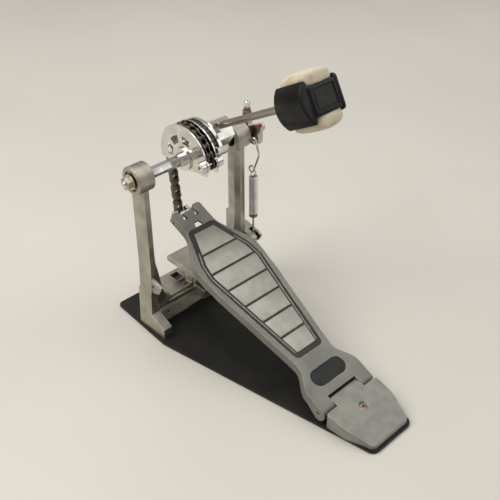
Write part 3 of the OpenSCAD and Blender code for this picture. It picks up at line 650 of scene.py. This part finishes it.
# ---------------------------------------------------------------- mesh tools
class Shape:
    """A bmesh being built, with the few operations that the pieces share."""

    # a path that runs this much along the first side direction takes another one
    nearly_parallel = 0.9
    # steps in one turn of a coil
    turn_steps = 20

    def __init__(self) -> None:
        """Start empty."""
        self.bm = bmesh.new()

    def frames(self, path: list[Vector]) -> list[Matrix]:
        """Frames along a path that turn as little as possible.

        Args:
            path: points along the wire.

        Returns:
            One matrix per point, its Z along the path.
        """
        result: list[Matrix] = []
        side = AXIS_Z
        for behind, here, ahead in zip(path[:1] + path[:-1], path, path[1:] + path[-1:]):
            along = (ahead - behind).normalized()
            if not result and abs(along.dot(side)) > self.nearly_parallel:
                side = AXIS_X
            side = (side - along * side.dot(along)).normalized()
            across = along.cross(side)
            axes = Matrix((side, across, along)).transposed().to_4x4()
            result.append(Matrix.Translation(here) @ axes)
        return result

    def sweep(self, path: list[Vector], radius: float, sides: int = 10) -> None:
        """Run a round wire along a path.

        Args:
            path: points in metres.
            radius: the wire's radius in metres.
            sides: sides of its section.
        """
        frames = self.frames(path)
        ring = bmesh.ops.create_circle(self.bm, cap_ends=False, radius=radius, segments=sides)["verts"]
        bmesh.ops.transform(self.bm, matrix=frames[0], verts=ring)
        edges = list({e for v in ring for e in v.link_edges})
        bmesh.ops.contextual_create(self.bm, geom=edges)
        for before, after in zip(frames, frames[1:]):
            grown = bmesh.ops.extrude_edge_only(self.bm, edges=edges)["geom"]
            moved = [g for g in grown if isinstance(g, bmesh.types.BMVert)]
            edges = [g for g in grown if isinstance(g, bmesh.types.BMEdge)]
            bmesh.ops.transform(self.bm, matrix=after @ before.inverted(), verts=moved)
        bmesh.ops.contextual_create(self.bm, geom=edges)

    def coil(self, centre: Vector, radius: float, wire: float, height: float, turns: float,
             sides: int = 8) -> None:
        """Wind a round wire up the Z axis.

        Args:
            centre: middle of the coil's lowest turn.
            radius: radius of the turns.
            wire: radius of the wire.
            height: rise over all the turns.
            turns: number of turns.
            sides: sides of the wire's section.
        """
        steps = int(turns * self.turn_steps)
        ring = bmesh.ops.create_circle(self.bm, cap_ends=False, radius=wire, segments=sides)["verts"]
        start = Matrix.Translation(centre + AXIS_X * radius) @ Matrix.Rotation(math.pi / 2, 4, "X")
        bmesh.ops.transform(self.bm, matrix=start, verts=ring)
        edges = list({e for v in ring for e in v.link_edges})
        bmesh.ops.contextual_create(self.bm, geom=edges)
        last = bmesh.ops.spin(
            self.bm, geom=edges, cent=centre, axis=AXIS_Z, dvec=(0, 0, height / steps),
            angle=2 * math.pi * turns, steps=steps, use_merge=False, use_duplicate=False,
        )["geom_last"]
        bmesh.ops.contextual_create(self.bm, geom=[g for g in last if isinstance(g, bmesh.types.BMEdge)])

    def turned(self, profile: Sequence[Span], centre: Vector, steps: int = 48) -> None:
        """Turn a closed profile about the X axis through a centre.

        Args:
            profile: (x, radius) pairs, in order round the section.
            centre: a point on the axis.
            steps: steps round the axis.
        """
        verts = [self.bm.verts.new(centre + Vector((x, 0, r))) for x, r in profile]
        edges = [self.bm.edges.new(pair) for pair in zip(verts, verts[1:] + verts[:1])]
        bmesh.ops.spin(
            self.bm, geom=verts + edges, cent=centre, axis=AXIS_X, angle=2 * math.pi, steps=steps,
            use_merge=True, use_duplicate=False,
        )

    def block(self, low: Point, high: Point, bevel: float = 0.0, segments: int = 2) -> list[bmesh.types.BMVert]:
        """A box between two corners, its edges rounded.

        Args:
            low: lowest corner.
            high: highest corner.
            bevel: width of the rounding.
            segments: steps of the rounding.

        Returns:
            The box's vertices.
        """
        size = Vector(high) - Vector(low)
        place = Matrix.Translation((Vector(low) + Vector(high)) / 2) @ Matrix.Diagonal((*size, 1))
        verts = bmesh.ops.create_cube(self.bm, size=1.0, matrix=place)["verts"]
        return self.round_edges(verts, bevel, segments) if bevel else verts

    def round_edges(self, verts: Iterable[bmesh.types.BMVert], width: float, segments: int = 2,
                    sharp: float = 30.0) -> list[bmesh.types.BMVert]:
        """Round the sharp edges among some vertices.

        Args:
            verts: vertices whose edges are looked at.
            width: width of the rounding.
            segments: steps of the rounding.
            sharp: least angle between faces that counts as sharp, in degrees.

        Returns:
            All vertices of the rounded piece.
        """
        start = set(verts)
        least = math.radians(sharp)
        closed = {e for v in start for e in v.link_edges if len(e.link_faces) == 2}
        edges = [e for e in closed if e.calc_face_angle(0.0) > least]
        out = bmesh.ops.bevel(
            self.bm, geom=edges, offset=width, offset_type="OFFSET", affect="EDGES",
            segments=segments, profile=0.5, material=-1, clamp_overlap=True,
        )
        return list(set(out["verts"]) | {v for v in start if v.is_valid})

    def slab(self, outline: Sequence[Vector], depth: Point) -> list[bmesh.types.BMVert]:
        """Push a flat outline through a depth.

        Args:
            outline: corner points in order.
            depth: vector from the outline to the far face.

        Returns:
            The slab's vertices.
        """
        face = self.bm.faces.new([self.bm.verts.new(p) for p in outline])
        near = list(face.verts)
        grown = bmesh.ops.extrude_face_region(self.bm, geom=[face], use_keep_orig=True)["geom"]
        far = [g for g in grown if isinstance(g, bmesh.types.BMVert)]
        bmesh.ops.translate(self.bm, vec=depth, verts=far)
        return near + far

    def place(self, matrix: Matrix, verts: Optional[Iterable[bmesh.types.BMVert]] = None) -> None:
        """Move some vertices, or all, by a matrix.

        Args:
            matrix: the move.
            verts: vertices to move, or None for all.
        """
        moved = list(self.bm.verts) if verts is None else list(verts)
        bmesh.ops.transform(self.bm, matrix=matrix, verts=moved)

    def finish(self, name: str) -> bpy.types.Object:
        """Turn the shape into an object at the origin, its shallow angles shaded smooth.

        Args:
            name: the piece's name.

        Returns:
            The new object.
        """
        bmesh.ops.remove_doubles(self.bm, verts=list(self.bm.verts), dist=MERGE)
        bmesh.ops.recalc_face_normals(self.bm, faces=list(self.bm.faces))
        mesh = bpy.data.meshes.new(name)
        self.bm.to_mesh(mesh)
        self.bm.free()
        obj = bpy.data.objects.new(name, mesh)
        bpy.context.scene.collection.objects.link(obj)
        for poly in mesh.polygons:
            poly.use_smooth = True
        mesh.set_sharp_from_angle(angle=math.radians(SMOOTH_ANGLE))
        return obj


def arc_points(centre: Vector, radius: float, start: float, stop: float, steps: int,
               across: Vector, up: Vector) -> list[Vector]:
    """Points on an arc.

    Args:
        centre: its middle.
        radius: its radius.
        start: first angle in degrees.
        stop: last angle in degrees.
        steps: steps along it.
        across: direction of angle 0.
        up: direction of angle 90.

    Returns:
        The points in order.
    """
    angles = [math.radians(start + (stop - start) * i / steps) for i in range(steps + 1)]
    return [centre + across * (radius * math.cos(a)) + up * (radius * math.sin(a)) for a in angles]


def joint_record(name: str) -> dict:
    """A joint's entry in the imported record."""
    return next(joint for joint in frame["joints"] if joint["name"] == name)


def joint_place(name: str) -> Vector:
    """Where a joint's axis passes."""
    return Vector(joint_record(name)["pos_m"])


# ---------------------------------------------------------------- sub-assemblies
@dataclass
class SubAssembly:
    """What every sub-assembly shares: the finisher, and the log of its pieces."""

    finisher: Finisher
    pieces: list[str] = field(default_factory=list)

    def dress_nodes(self, finishes: dict[str, Finish]) -> None:
        """Give CAD nodes their finishes.

        Args:
            finishes: the finish of each node, by name.
        """
        for node, finish in finishes.items():
            self.finisher.dress(frame["nodes"][node], finish)
            self.pieces.append(node)

    def add(self, shape: Shape, name: str, body: str, finish: Finish, slot: str,
            replaces: Sequence[str] = ()) -> bpy.types.Object:
        """Finish a shape as a piece of the pedal.

        Args:
            shape: the shape.
            name: the piece's name.
            body: body that it moves with.
            finish: its finish.
            slot: the record's material slot, not used.
            replaces: CAD nodes that it stands for.

        Returns:
            The new object.
        """
        obj = shape.finish(name)
        self.finisher.dress(obj, finish)
        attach(obj, body)
        if replaces:
            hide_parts(*replaces)
        self.pieces.append(name)
        return obj

    def report(self) -> None:
        """Log the pieces that were built and dressed."""
        LOG.info("%s: %s", type(self).__name__, ", ".join(self.pieces))


@dataclass
class Stand(SubAssembly):
    """Floor plate, posts, crossbar and their fasteners."""

    def build(self) -> None:
        """Dress the standing parts."""
        self.dress_nodes({
            "base_plate": BLACK_PLATE, "rubber_pads": RUBBER, "left_post": ALLOY, "right_post": ALLOY,
            "crossbar": ALLOY, "post_screws": STEEL, "crossbar_screws": RUSTY, "spring_anchor_pin": RUSTY,
        })


@dataclass
class HoopClamp(SubAssembly):
    """The jaw that grips the drum's hoop, and its wing bolt."""

    def build(self) -> None:
        """Dress the clamp."""
        self.dress_nodes({"hoop_jaw": ALLOY, "jaw_pin": STEEL, "jaw_rubber": RUBBER, "wing_bolt": CHROME})


@dataclass
class Board(SubAssembly):
    """Footboard and heel plate with the tread pattern.

    Pitch is the board's slope in degrees. The border's beads lie on infill_top, in metres. Lines on the tread
    are (half width, distance from the hinge) pairs in millimetres, as are the grooves and the panels.
    """

    pitch: float = 23.2
    infill_top: float = 6.4 * MM
    bead: float = 0.75 * MM
    bead_steps: int = 12
    bead_line: tuple[Span, ...] = ((15.9, 62.5), (34.4, 178.5), (32.2, 196.0), (25.6, 212.0))
    tread: tuple[Span, ...] = ((13.7, 61.5), (31.1, 178.0), (28.4, 196.0), (13.9, 235.0))
    groove_count: int = 6
    first_groove: float = 83.6
    groove_step: float = 24.75
    groove_half: float = 1.3
    panel_low: float = 6.7
    panel_high: float = 7.15
    panel_gap: float = 0.1
    panel_round: float = 0.28

    def build(self) -> None:
        """Dress the boards, lay the bare panels and the two beads in the border."""
        self.dress_nodes({
            "heel_plate": HEEL_PAINT, "heel_screw": HEEL_SCREW, "hinge_pin": RUSTY, "footboard": BOARD_PAINT,
            "tread_infill": INFILL, "badge_infill": BADGE, "toe_pin": STEEL, "chain_clevis": CHROME,
        })
        slope = Matrix.Rotation(math.radians(self.pitch), 4, "X")
        on_board = Matrix.Translation(joint_place("footboard_hinge")) @ slope
        self.beads(on_board)
        self.panels(on_board)

    def beads(self, on_board: Matrix) -> None:
        """The thin raised lines in the border, one on each side of the tread.

        Args:
            on_board: the matrix from the board's frame to the pedal's.
        """
        shape = Shape()
        for side in (-1, 1):
            corners = [Vector((side * x * MM, s * MM, self.infill_top)) for x, s in self.bead_line]
            path = [a.lerp(b, i / self.bead_steps) for a, b in zip(corners, corners[1:])
                    for i in range(self.bead_steps)]
            shape.sweep(path + corners[-1:], self.bead, 8)
        shape.place(on_board)
        self.add(shape, "tread_beads", "footboard", BOARD_PAINT, "board_alloy")

    def panels(self, on_board: Matrix) -> None:
        """The bare metal panels between the grooves.

        Args:
            on_board: the matrix from the board's frame to the pedal's.
        """
        shape = Shape()
        grooves = [self.first_groove + i * self.groove_step for i in range(self.groove_count)]
        starts = [self.tread[0][1]] + [g + self.groove_half for g in grooves]
        stops = [g - self.groove_half for g in grooves] + [self.tread[-1][1]]
        for start, stop in zip(starts, stops):
            self.panel(shape, start + self.panel_gap, stop - self.panel_gap)
        shape.place(on_board @ Matrix.Scale(MM, 4))
        self.add(shape, "tread_panels", "footboard", PANEL, "board_alloy")

    def half_width(self, distance: float) -> float:
        """Half the tread's width at a distance along the board.

        Args:
            distance: how far from the hinge, in millimetres.

        Returns:
            Half the width in millimetres.
        """
        for (x0, s0), (x1, s1) in zip(self.tread, self.tread[1:]):
            if distance <= s1:
                return x0 + (x1 - x0) * (distance - s0) / (s1 - s0)
        return self.tread[-1][0]

    def panel(self, shape: Shape, start: float, stop: float) -> None:
        """One bare metal panel between two grooves, its edges worn round.

        Args:
            shape: shape to add to, in millimetres.
            start: where it starts along the board.
            stop: where it ends.
        """
        stations = [start] + [s for _, s in self.tread if start < s < stop] + [stop]
        right = [Vector((self.half_width(s) - self.panel_gap, s, self.panel_low)) for s in stations]
        left = [Vector((-p.x, p.y, p.z)) for p in reversed(right)]
        verts = shape.slab(right + left, (0, 0, self.panel_high - self.panel_low))
        shape.round_edges(verts, self.panel_round, 2, 45.0)


@dataclass
class Axle(SubAssembly):
    """Hex axle, bearings, cam and hub. Sizes are in metres, angles in degrees."""

    ring_r: float = 34.4 * MM
    ring_low: float = 8.8 * MM
    ring_high: float = 14.4 * MM
    rib_half: float = 1.1 * MM
    rib_sunk: float = 0.9 * MM
    rib_high: float = 1.0 * MM
    rib_round: float = 0.35 * MM
    rib_count: int = 11
    first_rib: float = 62.0
    rib_step: float = 8.2

    def build(self) -> None:
        """Dress the axle's parts and add the ring's ribs."""
        self.dress_nodes({
            "hex_axle": CHROME, "bearing_outer_races": YELLOW, "bearing_balls": STEEL,
            "bearing_inner_races": YELLOW, "axle_washers": CHROME, "axle_nuts": STEEL, "cam_wheel": CHROME,
            "cam_felt": DARK_FELT, "cam_screw": RUSTY, "chain_anchor": CHROME, "hub_ring": DARK_RING,
            "beater_hub": CHROME, "hub_screws": CHROME,
        })
        axle = Matrix.Translation(joint_place("axle_turn"))
        rim = Matrix.Translation(AXIS_Z * self.ring_r)
        ribs = Shape()
        for i in range(self.rib_count):
            low = (self.ring_low, -self.rib_half, -self.rib_sunk)
            verts = ribs.block(low, (self.ring_high, self.rib_half, self.rib_high), self.rib_round)
            angle = math.radians(self.first_rib + i * self.rib_step - 90)
            ribs.place(axle @ Matrix.Rotation(angle, 4, "X") @ rim, verts)
        self.add(ribs, "ring_ribs", "axle", DARK_RING, "black_plastic")


@dataclass
class Chain(SubAssembly):
    """The roller chain from the cam to the footboard's clevis."""

    fittings: tuple[str, ...] = ("chain_anchor", "chain_clevis")

    def build(self) -> None:
        """Dress the chain's links, but not the fittings at its ends."""
        links = [name for name in frame["nodes"] if name.startswith("chain_") and name not in self.fittings]
        self.dress_nodes({name: CHAIN for name in links})


@dataclass
class Beater(SubAssembly):
    """Rod and head: a black moulded core that holds two felt pads.

    Sizes are in millimetres in the head's frame: X across, -Y outward along the rod, Z to the drum. The head
    sits at side, offset and reach from the axle, and half is its half length along the rod.
    """

    side: float = 32.0
    offset: float = 19.5
    reach: float = 167.0
    half: float = 19.0
    core_n: float = 14.5
    cup_r: float = 27.0
    cup_x: float = 2.0
    cup_angle: float = 51.0
    lip_x: float = -12.0
    lip_n: float = 18.6
    cup_round: float = 1.5
    strap_from: float = -14.0
    strap_to: float = 22.0
    strap_over: float = 2.0
    strap_under: float = 1.0
    strap_round: float = 2.0
    # (thickness, depth) of each inset of the strap's sunk panel, from its rim inwards
    strap_insets: tuple[Span, ...] = ((2.6, 0.0), (0.7, -1.1), (2.2, 0.0), (0.5, 0.5))
    plate_x: float = 21.0
    plate_thick: float = 4.0
    plate_over: float = 3.0
    plate_from: float = -16.75
    plate_to: float = 8.75
    plate_corner: float = 4.5
    plate_round: float = 1.1
    felt_x: float = 5.2
    felt_half: float = 17.8
    felt_long: float = 20.8
    felt_low: float = 12.0
    felt_cuts: int = 26
    felt_passes: int = 14
    pillow: float = 4.5
    crown_x: float = 4.0
    crown_flat: float = 0.7
    crown_lift: float = 1.6
    # above this the lumps only sink, so that the crown keeps its height
    crown_n: float = 24.0
    # (cells per millimetre, height) of the felt's broad and fine lumps
    lumps: tuple[Span, Span] = ((0.12, 0.8), (0.45, 0.25))

    def head_frame(self) -> Matrix:
        """The matrix from the head's frame to the pedal's.

        Returns:
            The matrix, which also turns millimetres into metres.
        """
        along = Vector(joint_record("beater_height")["axis"])
        up = Vector((0, along.z, -along.y))
        from_axle = AXIS_X * self.side + up * self.offset + along * self.reach
        axes = Matrix((AXIS_X, -along, up)).transposed().to_4x4()
        return Matrix.Translation(joint_place("axle_turn") + from_axle * MM) @ axes @ Matrix.Scale(MM, 4)

    def build(self) -> None:
        """Build the core and the felts, and dress the rod."""
        self.dress_nodes({"beater_rod": ROD_STEEL})
        place = self.head_frame()
        core = Shape()
        self.cup(core)
        self.strap(core)
        self.plate(core)
        core.place(place)
        self.add(core, "head_core", "beater", BLACK_PLASTIC, "black_plastic", ["beater_core"])
        felts = Shape()
        for turn in (0, 180):
            self.felt(felts, turn)
        felts.place(place)
        obj = self.add(felts, "head_felts", "beater", FELT, "felt", ["beater_felts"])

    def cup(self, shape: Shape) -> None:
        """The rounded side of the core, with its two lips.

        Args:
            shape: shape to add to, in the head's frame.
        """
        middle = Vector((self.cup_x, -self.half, 0))
        low, high = 180 - self.cup_angle, 180 + self.cup_angle
        arc = arc_points(middle, self.cup_r, low, high, 28, AXIS_X, AXIS_Z)
        lips = [Vector((self.lip_x, -self.half, n)) for n in (-self.lip_n, self.lip_n)]
        verts = shape.slab(arc + lips, (0, 2 * self.half, 0))
        shape.round_edges(verts, self.cup_round, 4, 25.0)

    def strap(self, shape: Shape) -> None:
        """The strap across the end with its plain sunk panel.

        Args:
            shape: shape to add to, in the head's frame.
        """
        low = (self.strap_from, -self.half - self.strap_over, -self.core_n)
        high = (self.strap_to, self.half - self.strap_under, self.core_n)
        shape.block(low, high, self.strap_round, 4)
        facing = [f for f in shape.bm.faces if f.normal.y < -0.99]
        outer = [f for f in facing if f.calc_center_median().y < -self.half - 1.5]
        panel = [max(outer, key=lambda f: f.calc_area())]
        for thickness, depth in self.strap_insets:
            bmesh.ops.inset_region(shape.bm, faces=panel, thickness=thickness, depth=depth)

    def plate(self, shape: Shape) -> None:
        """The flat side plate, its corners rounded.

        Args:
            shape: shape to add to, in the head's frame.
        """
        high = self.core_n + self.plate_over - self.plate_corner
        near, far = self.plate_from, self.plate_to
        corners = ((far, high), (far, -high), (near, -high), (near, high))
        outline: list[Vector] = []
        for i, (y, z) in enumerate(corners):
            middle = Vector((self.plate_x, y, z))
            start = 90 - 90 * i
            outline += arc_points(middle, self.plate_corner, start, start - 90, 6, AXIS_Y, AXIS_Z)
        verts = shape.slab(outline, (self.plate_thick, 0, 0))
        shape.round_edges(verts, self.plate_round, 3, 45.0)

    def felt(self, shape: Shape, turn: float) -> None:
        """One felt pad, crowned and slightly lumpy.

        Args:
            shape: shape to add to.
            turn: turn about the rod, in degrees.
        """
        count = len(shape.bm.verts)
        verts = bmesh.ops.create_cube(shape.bm, size=2.0)["verts"]
        edges = list({e for v in verts for e in v.link_edges})
        bmesh.ops.subdivide_edges(shape.bm, edges=edges, cuts=self.felt_cuts, use_grid_fill=True)
        shape.bm.verts.ensure_lookup_table()
        pad = shape.bm.verts[count:]
        for v in pad:
            v.co *= sum(abs(c) ** self.pillow for c in v.co) ** (-1 / self.pillow)
            x = self.felt_x + self.felt_half * v.co.x
            fall = (x - self.crown_x) ** 2 * self.crown_flat
            top = math.sqrt(max(self.cup_r ** 2 - fall, 1.0)) + self.crown_lift
            height = self.felt_low + (top - self.felt_low) * (v.co.z + 1) / 2
            v.co = Vector((x, self.felt_long * v.co.y, height))
        for _ in range(self.felt_passes):
            bmesh.ops.smooth_vert(
                shape.bm, verts=pad, factor=0.5, use_axis_x=True, use_axis_y=True, use_axis_z=True
            )
        (broad, broad_height), (fine, fine_height) = self.lumps
        for v in pad:
            lump = noise.noise(v.co * broad + Vector((turn, 3, 7))) * broad_height
            lump += noise.noise(v.co * fine) * fine_height
            v.co.z += min(0.0, lump) if v.co.z > self.crown_n else lump * 0.5
        shape.place(Matrix.Diagonal((1, 1, -1 if turn else 1, 1)), pad)


@dataclass
class ReturnSpring(SubAssembly):
    """Rocker, bent top wire, wound spring and its lower hook. Sizes are in metres, angles in degrees."""

    outer: float = 5.3 * MM
    wire: float = 0.8 * MM
    # rise of one turn, in radii of the wire
    turn_rise: float = 2.06
    bottom: float = 98.0 * MM
    top: float = 150.0 * MM
    bent_wire: float = 1.2 * MM
    eye: float = 4.8 * MM
    knee_back: float = 4.5 * MM
    knee_down: float = 13.0 * MM
    tip_up: float = 6.0 * MM
    small_eye: float = 3.6 * MM
    small_eye_y: float = 3.4 * MM
    small_eye_z: float = 1.2 * MM
    small_eye_drift: float = 0.9 * MM
    small_eye_steps: int = 22
    crown_up: float = 3.2 * MM
    hook: float = 3.5 * MM
    neck_heights: tuple[float, ...] = (99.0, 96.0, 93.0, 88.0, 83.0, 78.5)
    collar_down: float = 2.9 * MM
    # (height in millimetres, share of the spring's radius) round the collar's outside
    collar_side: tuple[Span, ...] = ((0.0, 0.78), (0.5, 0.96), (1.6, 0.99), (2.4, 0.9))
    collar_top: float = 2.8 * MM
    collar_bore: float = 1.3 * MM
    # the mark's lowest and highest corner, from the arm's middle, near side and top, in millimetres
    mark_low: Point = (2.8, -0.1, -7.0)
    mark_high: Point = (5.4, 3.2, -3.2)
    mark_round: float = 0.5 * MM

    def build(self) -> None:
        """Dress the rocker and build the spring's wires."""
        self.dress_nodes({
            "spring_rocker": PLATED, "rocker_bolt": CHROME, "rocker_nut": RUSTY, "rocker_pin": CHROME,
        })
        foot = joint_place("spring_tilt")
        self.winding(foot)
        self.top_wire(foot)
        self.lower_hook(foot)
        self.collar(foot)
        self.mark(foot)

    def winding(self, foot: Vector) -> None:
        """The wound spring, which stretches between its two ends.

        Args:
            foot: middle of the spring's anchor pin.
        """
        height = self.top - self.bottom
        turns = int(height / (self.turn_rise * self.wire))
        start = Vector((foot.x, foot.y, self.bottom + self.wire))
        coil = Shape()
        coil.coil(start, self.outer - self.wire, self.wire, height - 2 * self.wire, turns)
        obj = coil.finish("spring_winding")
        self.finisher.dress(obj, BRIGHT_COIL)
        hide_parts("spring_coil")
        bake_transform(obj)
        self.pieces.append("spring_winding")

    def top_wire(self, foot: Vector) -> None:
        """The bent wire between the rocker's pin and the spring, with its small eye.

        Args:
            foot: middle of the spring's anchor pin.
        """
        low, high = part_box("rocker_pin")
        pin = Vector((foot.x, (low.y + high.y) / 2, (low.z + high.z) / 2))
        tip = Vector((foot.x, foot.y, self.top + self.tip_up))
        knee = pin + Vector((0, -self.eye - self.knee_back, -self.knee_down))
        loop = arc_points(pin, self.eye, 20, 190, 18, AXIS_Y, AXIS_Z)
        bend = [loop[-1].lerp(knee, i / 6) for i in range(1, 7)] + [knee.lerp(tip, i / 8) for i in range(1, 9)]
        for _ in range(2):
            eased = [(a + b * 2 + c) / 4 for a, b, c in zip(bend, bend[1:], bend[2:])]
            bend = bend[:1] + eased + bend[-1:]
        middle = tip + Vector((0, self.small_eye_y, self.small_eye_z))
        ring = arc_points(middle, self.small_eye, 190, 480, self.small_eye_steps, AXIS_Y, AXIS_Z)
        drift = self.small_eye_drift / self.small_eye_steps
        ring = [p + AXIS_X * (drift * i) for i, p in enumerate(ring)]
        shape = Shape()
        shape.sweep(loop + bend + ring, self.bent_wire, 10)
        middle = Vector((foot.x, foot.y, self.top + self.crown_up))
        shape.sweep(arc_points(middle, self.small_eye, -70, 250, 18, AXIS_X, AXIS_Z), self.wire, 8)
        self.add(shape, "spring_top_wire", "spring_upper", CHROME, "chrome", ["spring_stirrup"])

    def lower_hook(self, foot: Vector) -> None:
        """The hook on the spring's anchor pin.

        Args:
            foot: middle of the spring's anchor pin.
        """
        neck = [Vector((foot.x, foot.y, z * MM)) for z in self.neck_heights]
        hook = arc_points(foot, self.hook, 100, -190, 26, AXIS_Y, AXIS_Z)
        shape = Shape()
        shape.sweep(neck + hook, self.bent_wire, 10)
        self.add(shape, "spring_lower_hook", "spring_lower", CHROME, "chrome", ["spring_hook"])

    def collar(self, foot: Vector) -> None:
        """The rusty collar under the spring.

        Args:
            foot: middle of the spring's anchor pin.
        """
        side = [(z * MM, self.outer * share) for z, share in self.collar_side]
        profile = [(0.0, self.collar_bore)] + side + [(self.collar_top, self.collar_bore)]
        shape = Shape()
        shape.turned(profile, Vector(), 32)
        under = Matrix.Translation((foot.x, foot.y, self.bottom - self.collar_down))
        shape.place(under @ Matrix.Rotation(-math.pi / 2, 4, "Y"))
        self.add(shape, "spring_collar", "spring_lower", RUSTY, "rusty_steel")

    def mark(self, foot: Vector) -> None:
        """The red paint mark on the end of the rocker's arm.

        Args:
            foot: middle of the spring's anchor pin.
        """
        low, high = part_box("spring_rocker")
        corner = Vector((foot.x, low.y, high.z))
        shape = Shape()
        near = corner + Vector(self.mark_low) * MM
        shape.block(tuple(near), tuple(corner + Vector(self.mark_high) * MM), self.mark_round)
        self.add(shape, "rocker_mark", "axle", RED_MARK, "chrome")


# ---------------------------------------------------------------- studio
@dataclass(frozen=True)
class Lamp:
    """One soft square lamp: metres, watts and its colour."""

    name: str
    place: Point
    size: float
    power: float
    tint: Colour


@dataclass
class Studio:
    """Floor, soft lights and the camera."""

    eye: Point = (-0.4718, -0.5907, 0.6174)
    ahead: Point = (0.5586, 0.5890, -0.5840)
    right: Point = (0.7248, -0.6889, -0.0015)
    lens: float = 58.1
    sensor: float = 36.0
    near: float = 0.01
    floor_half: float = 4.0
    floor_tones: tuple[Colour, Colour] = ((0.655, 0.627, 0.568), (0.61, 0.585, 0.528))
    floor_rough: float = 0.55
    aim: Point = (0.0, -0.05, 0.1)
    lamps: tuple[Lamp, ...] = (
        Lamp("key", (-1.1, 0.5, 1.5), 1.1, 19.0, (1.0, 0.97, 0.92)),
        Lamp("fill", (1.2, -0.9, 1.2), 1.4, 6.0, (0.95, 0.97, 1.0)),
        Lamp("top", (0.2, 0.1, 1.9), 1.6, 12.0, (1.0, 0.985, 0.96)),
    )
    # (height on the surround, colour) of its lower and upper tone
    surround_tones: tuple[tuple[float, Colour], ...] = ((0.0, (0.52, 0.505, 0.475)), (0.55, (0.85, 0.84, 0.81)))
    surround_strength: float = 0.55

    def build(self) -> None:
        """Set up everything around the pedal."""
        self.camera()
        self.floor()
        for lamp in self.lamps:
            self.light(lamp)
        self.surround()
        bpy.context.scene.view_settings.view_transform = "Standard"

    def camera(self) -> None:
        """Place the camera."""
        data = bpy.data.cameras.new("camera")
        data.sensor_width = self.sensor
        data.lens = self.lens
        data.clip_start = self.near
        obj = bpy.data.objects.new("camera", data)
        bpy.context.scene.collection.objects.link(obj)
        ahead = Vector(self.ahead).normalized()
        right = (Vector(self.right) - ahead * Vector(self.right).dot(ahead)).normalized()
        up = right.cross(ahead)
        axes = Matrix((right, up, -ahead)).transposed().to_4x4()
        obj.matrix_world = Matrix.Translation(self.eye) @ axes
        bpy.context.scene.camera = obj

    def floor(self) -> None:
        """Lay a plain pale floor."""
        shape = Shape()
        bmesh.ops.create_grid(shape.bm, x_segments=8, y_segments=8, size=self.floor_half)
        obj = shape.finish("floor")
        graph = Graph("floor")
        tone = graph.span(graph.noise(2.2, 3.0), (0.3, 0.7))
        graph.join(graph.blend(tone, *self.floor_tones), graph.shader.inputs["Base Color"])
        graph.shader.inputs["Roughness"].default_value = self.floor_rough
        obj.data.materials.append(graph.material)

    def light(self, lamp: Lamp) -> None:
        """Hang one lamp, turned to the pedal.

        Args:
            lamp: its place, size, power and tint.
        """
        data = bpy.data.lights.new(lamp.name, "AREA")
        data.size = lamp.size
        data.energy = lamp.power
        data.color = lamp.tint
        obj = bpy.data.objects.new(lamp.name, data)
        bpy.context.scene.collection.objects.link(obj)
        obj.location = lamp.place
        obj.rotation_euler = (Vector(lamp.place) - Vector(self.aim)).to_track_quat("Z", "Y").to_euler()

    def surround(self) -> None:
        """Light the pedal softly from all round, brighter from above."""
        world = bpy.data.worlds.new("surround")
        world.use_nodes = True
        tree = world.node_tree
        back = tree.nodes["Background"]
        coord = tree.nodes.new("ShaderNodeTexCoord")
        split = tree.nodes.new("ShaderNodeSeparateXYZ")
        ramp = tree.nodes.new("ShaderNodeValToRGB")
        tree.links.new(coord.outputs["Generated"], split.inputs[0])
        tree.links.new(split.outputs["Z"], ramp.inputs["Fac"])
        for stop, (height, colour) in zip(ramp.color_ramp.elements, self.surround_tones):
            stop.position = height
            stop.color = (*colour, 1)
        tree.links.new(ramp.outputs["Color"], back.inputs["Color"])
        back.inputs["Strength"].default_value = self.surround_strength
        bpy.context.scene.world = world


def main() -> None:
    """Build the studio and every sub-assembly, and report the pieces."""
    logging.basicConfig(level=logging.INFO, format="%(name)s %(message)s")
    Studio().build()
    finisher = Finisher()
    for kind in (Stand, HoopClamp, Board, Axle, Chain, Beater, ReturnSpring):
        assembly = kind(finisher)
        assembly.build()
        assembly.report()


if __name__ == "__main__":
    main()
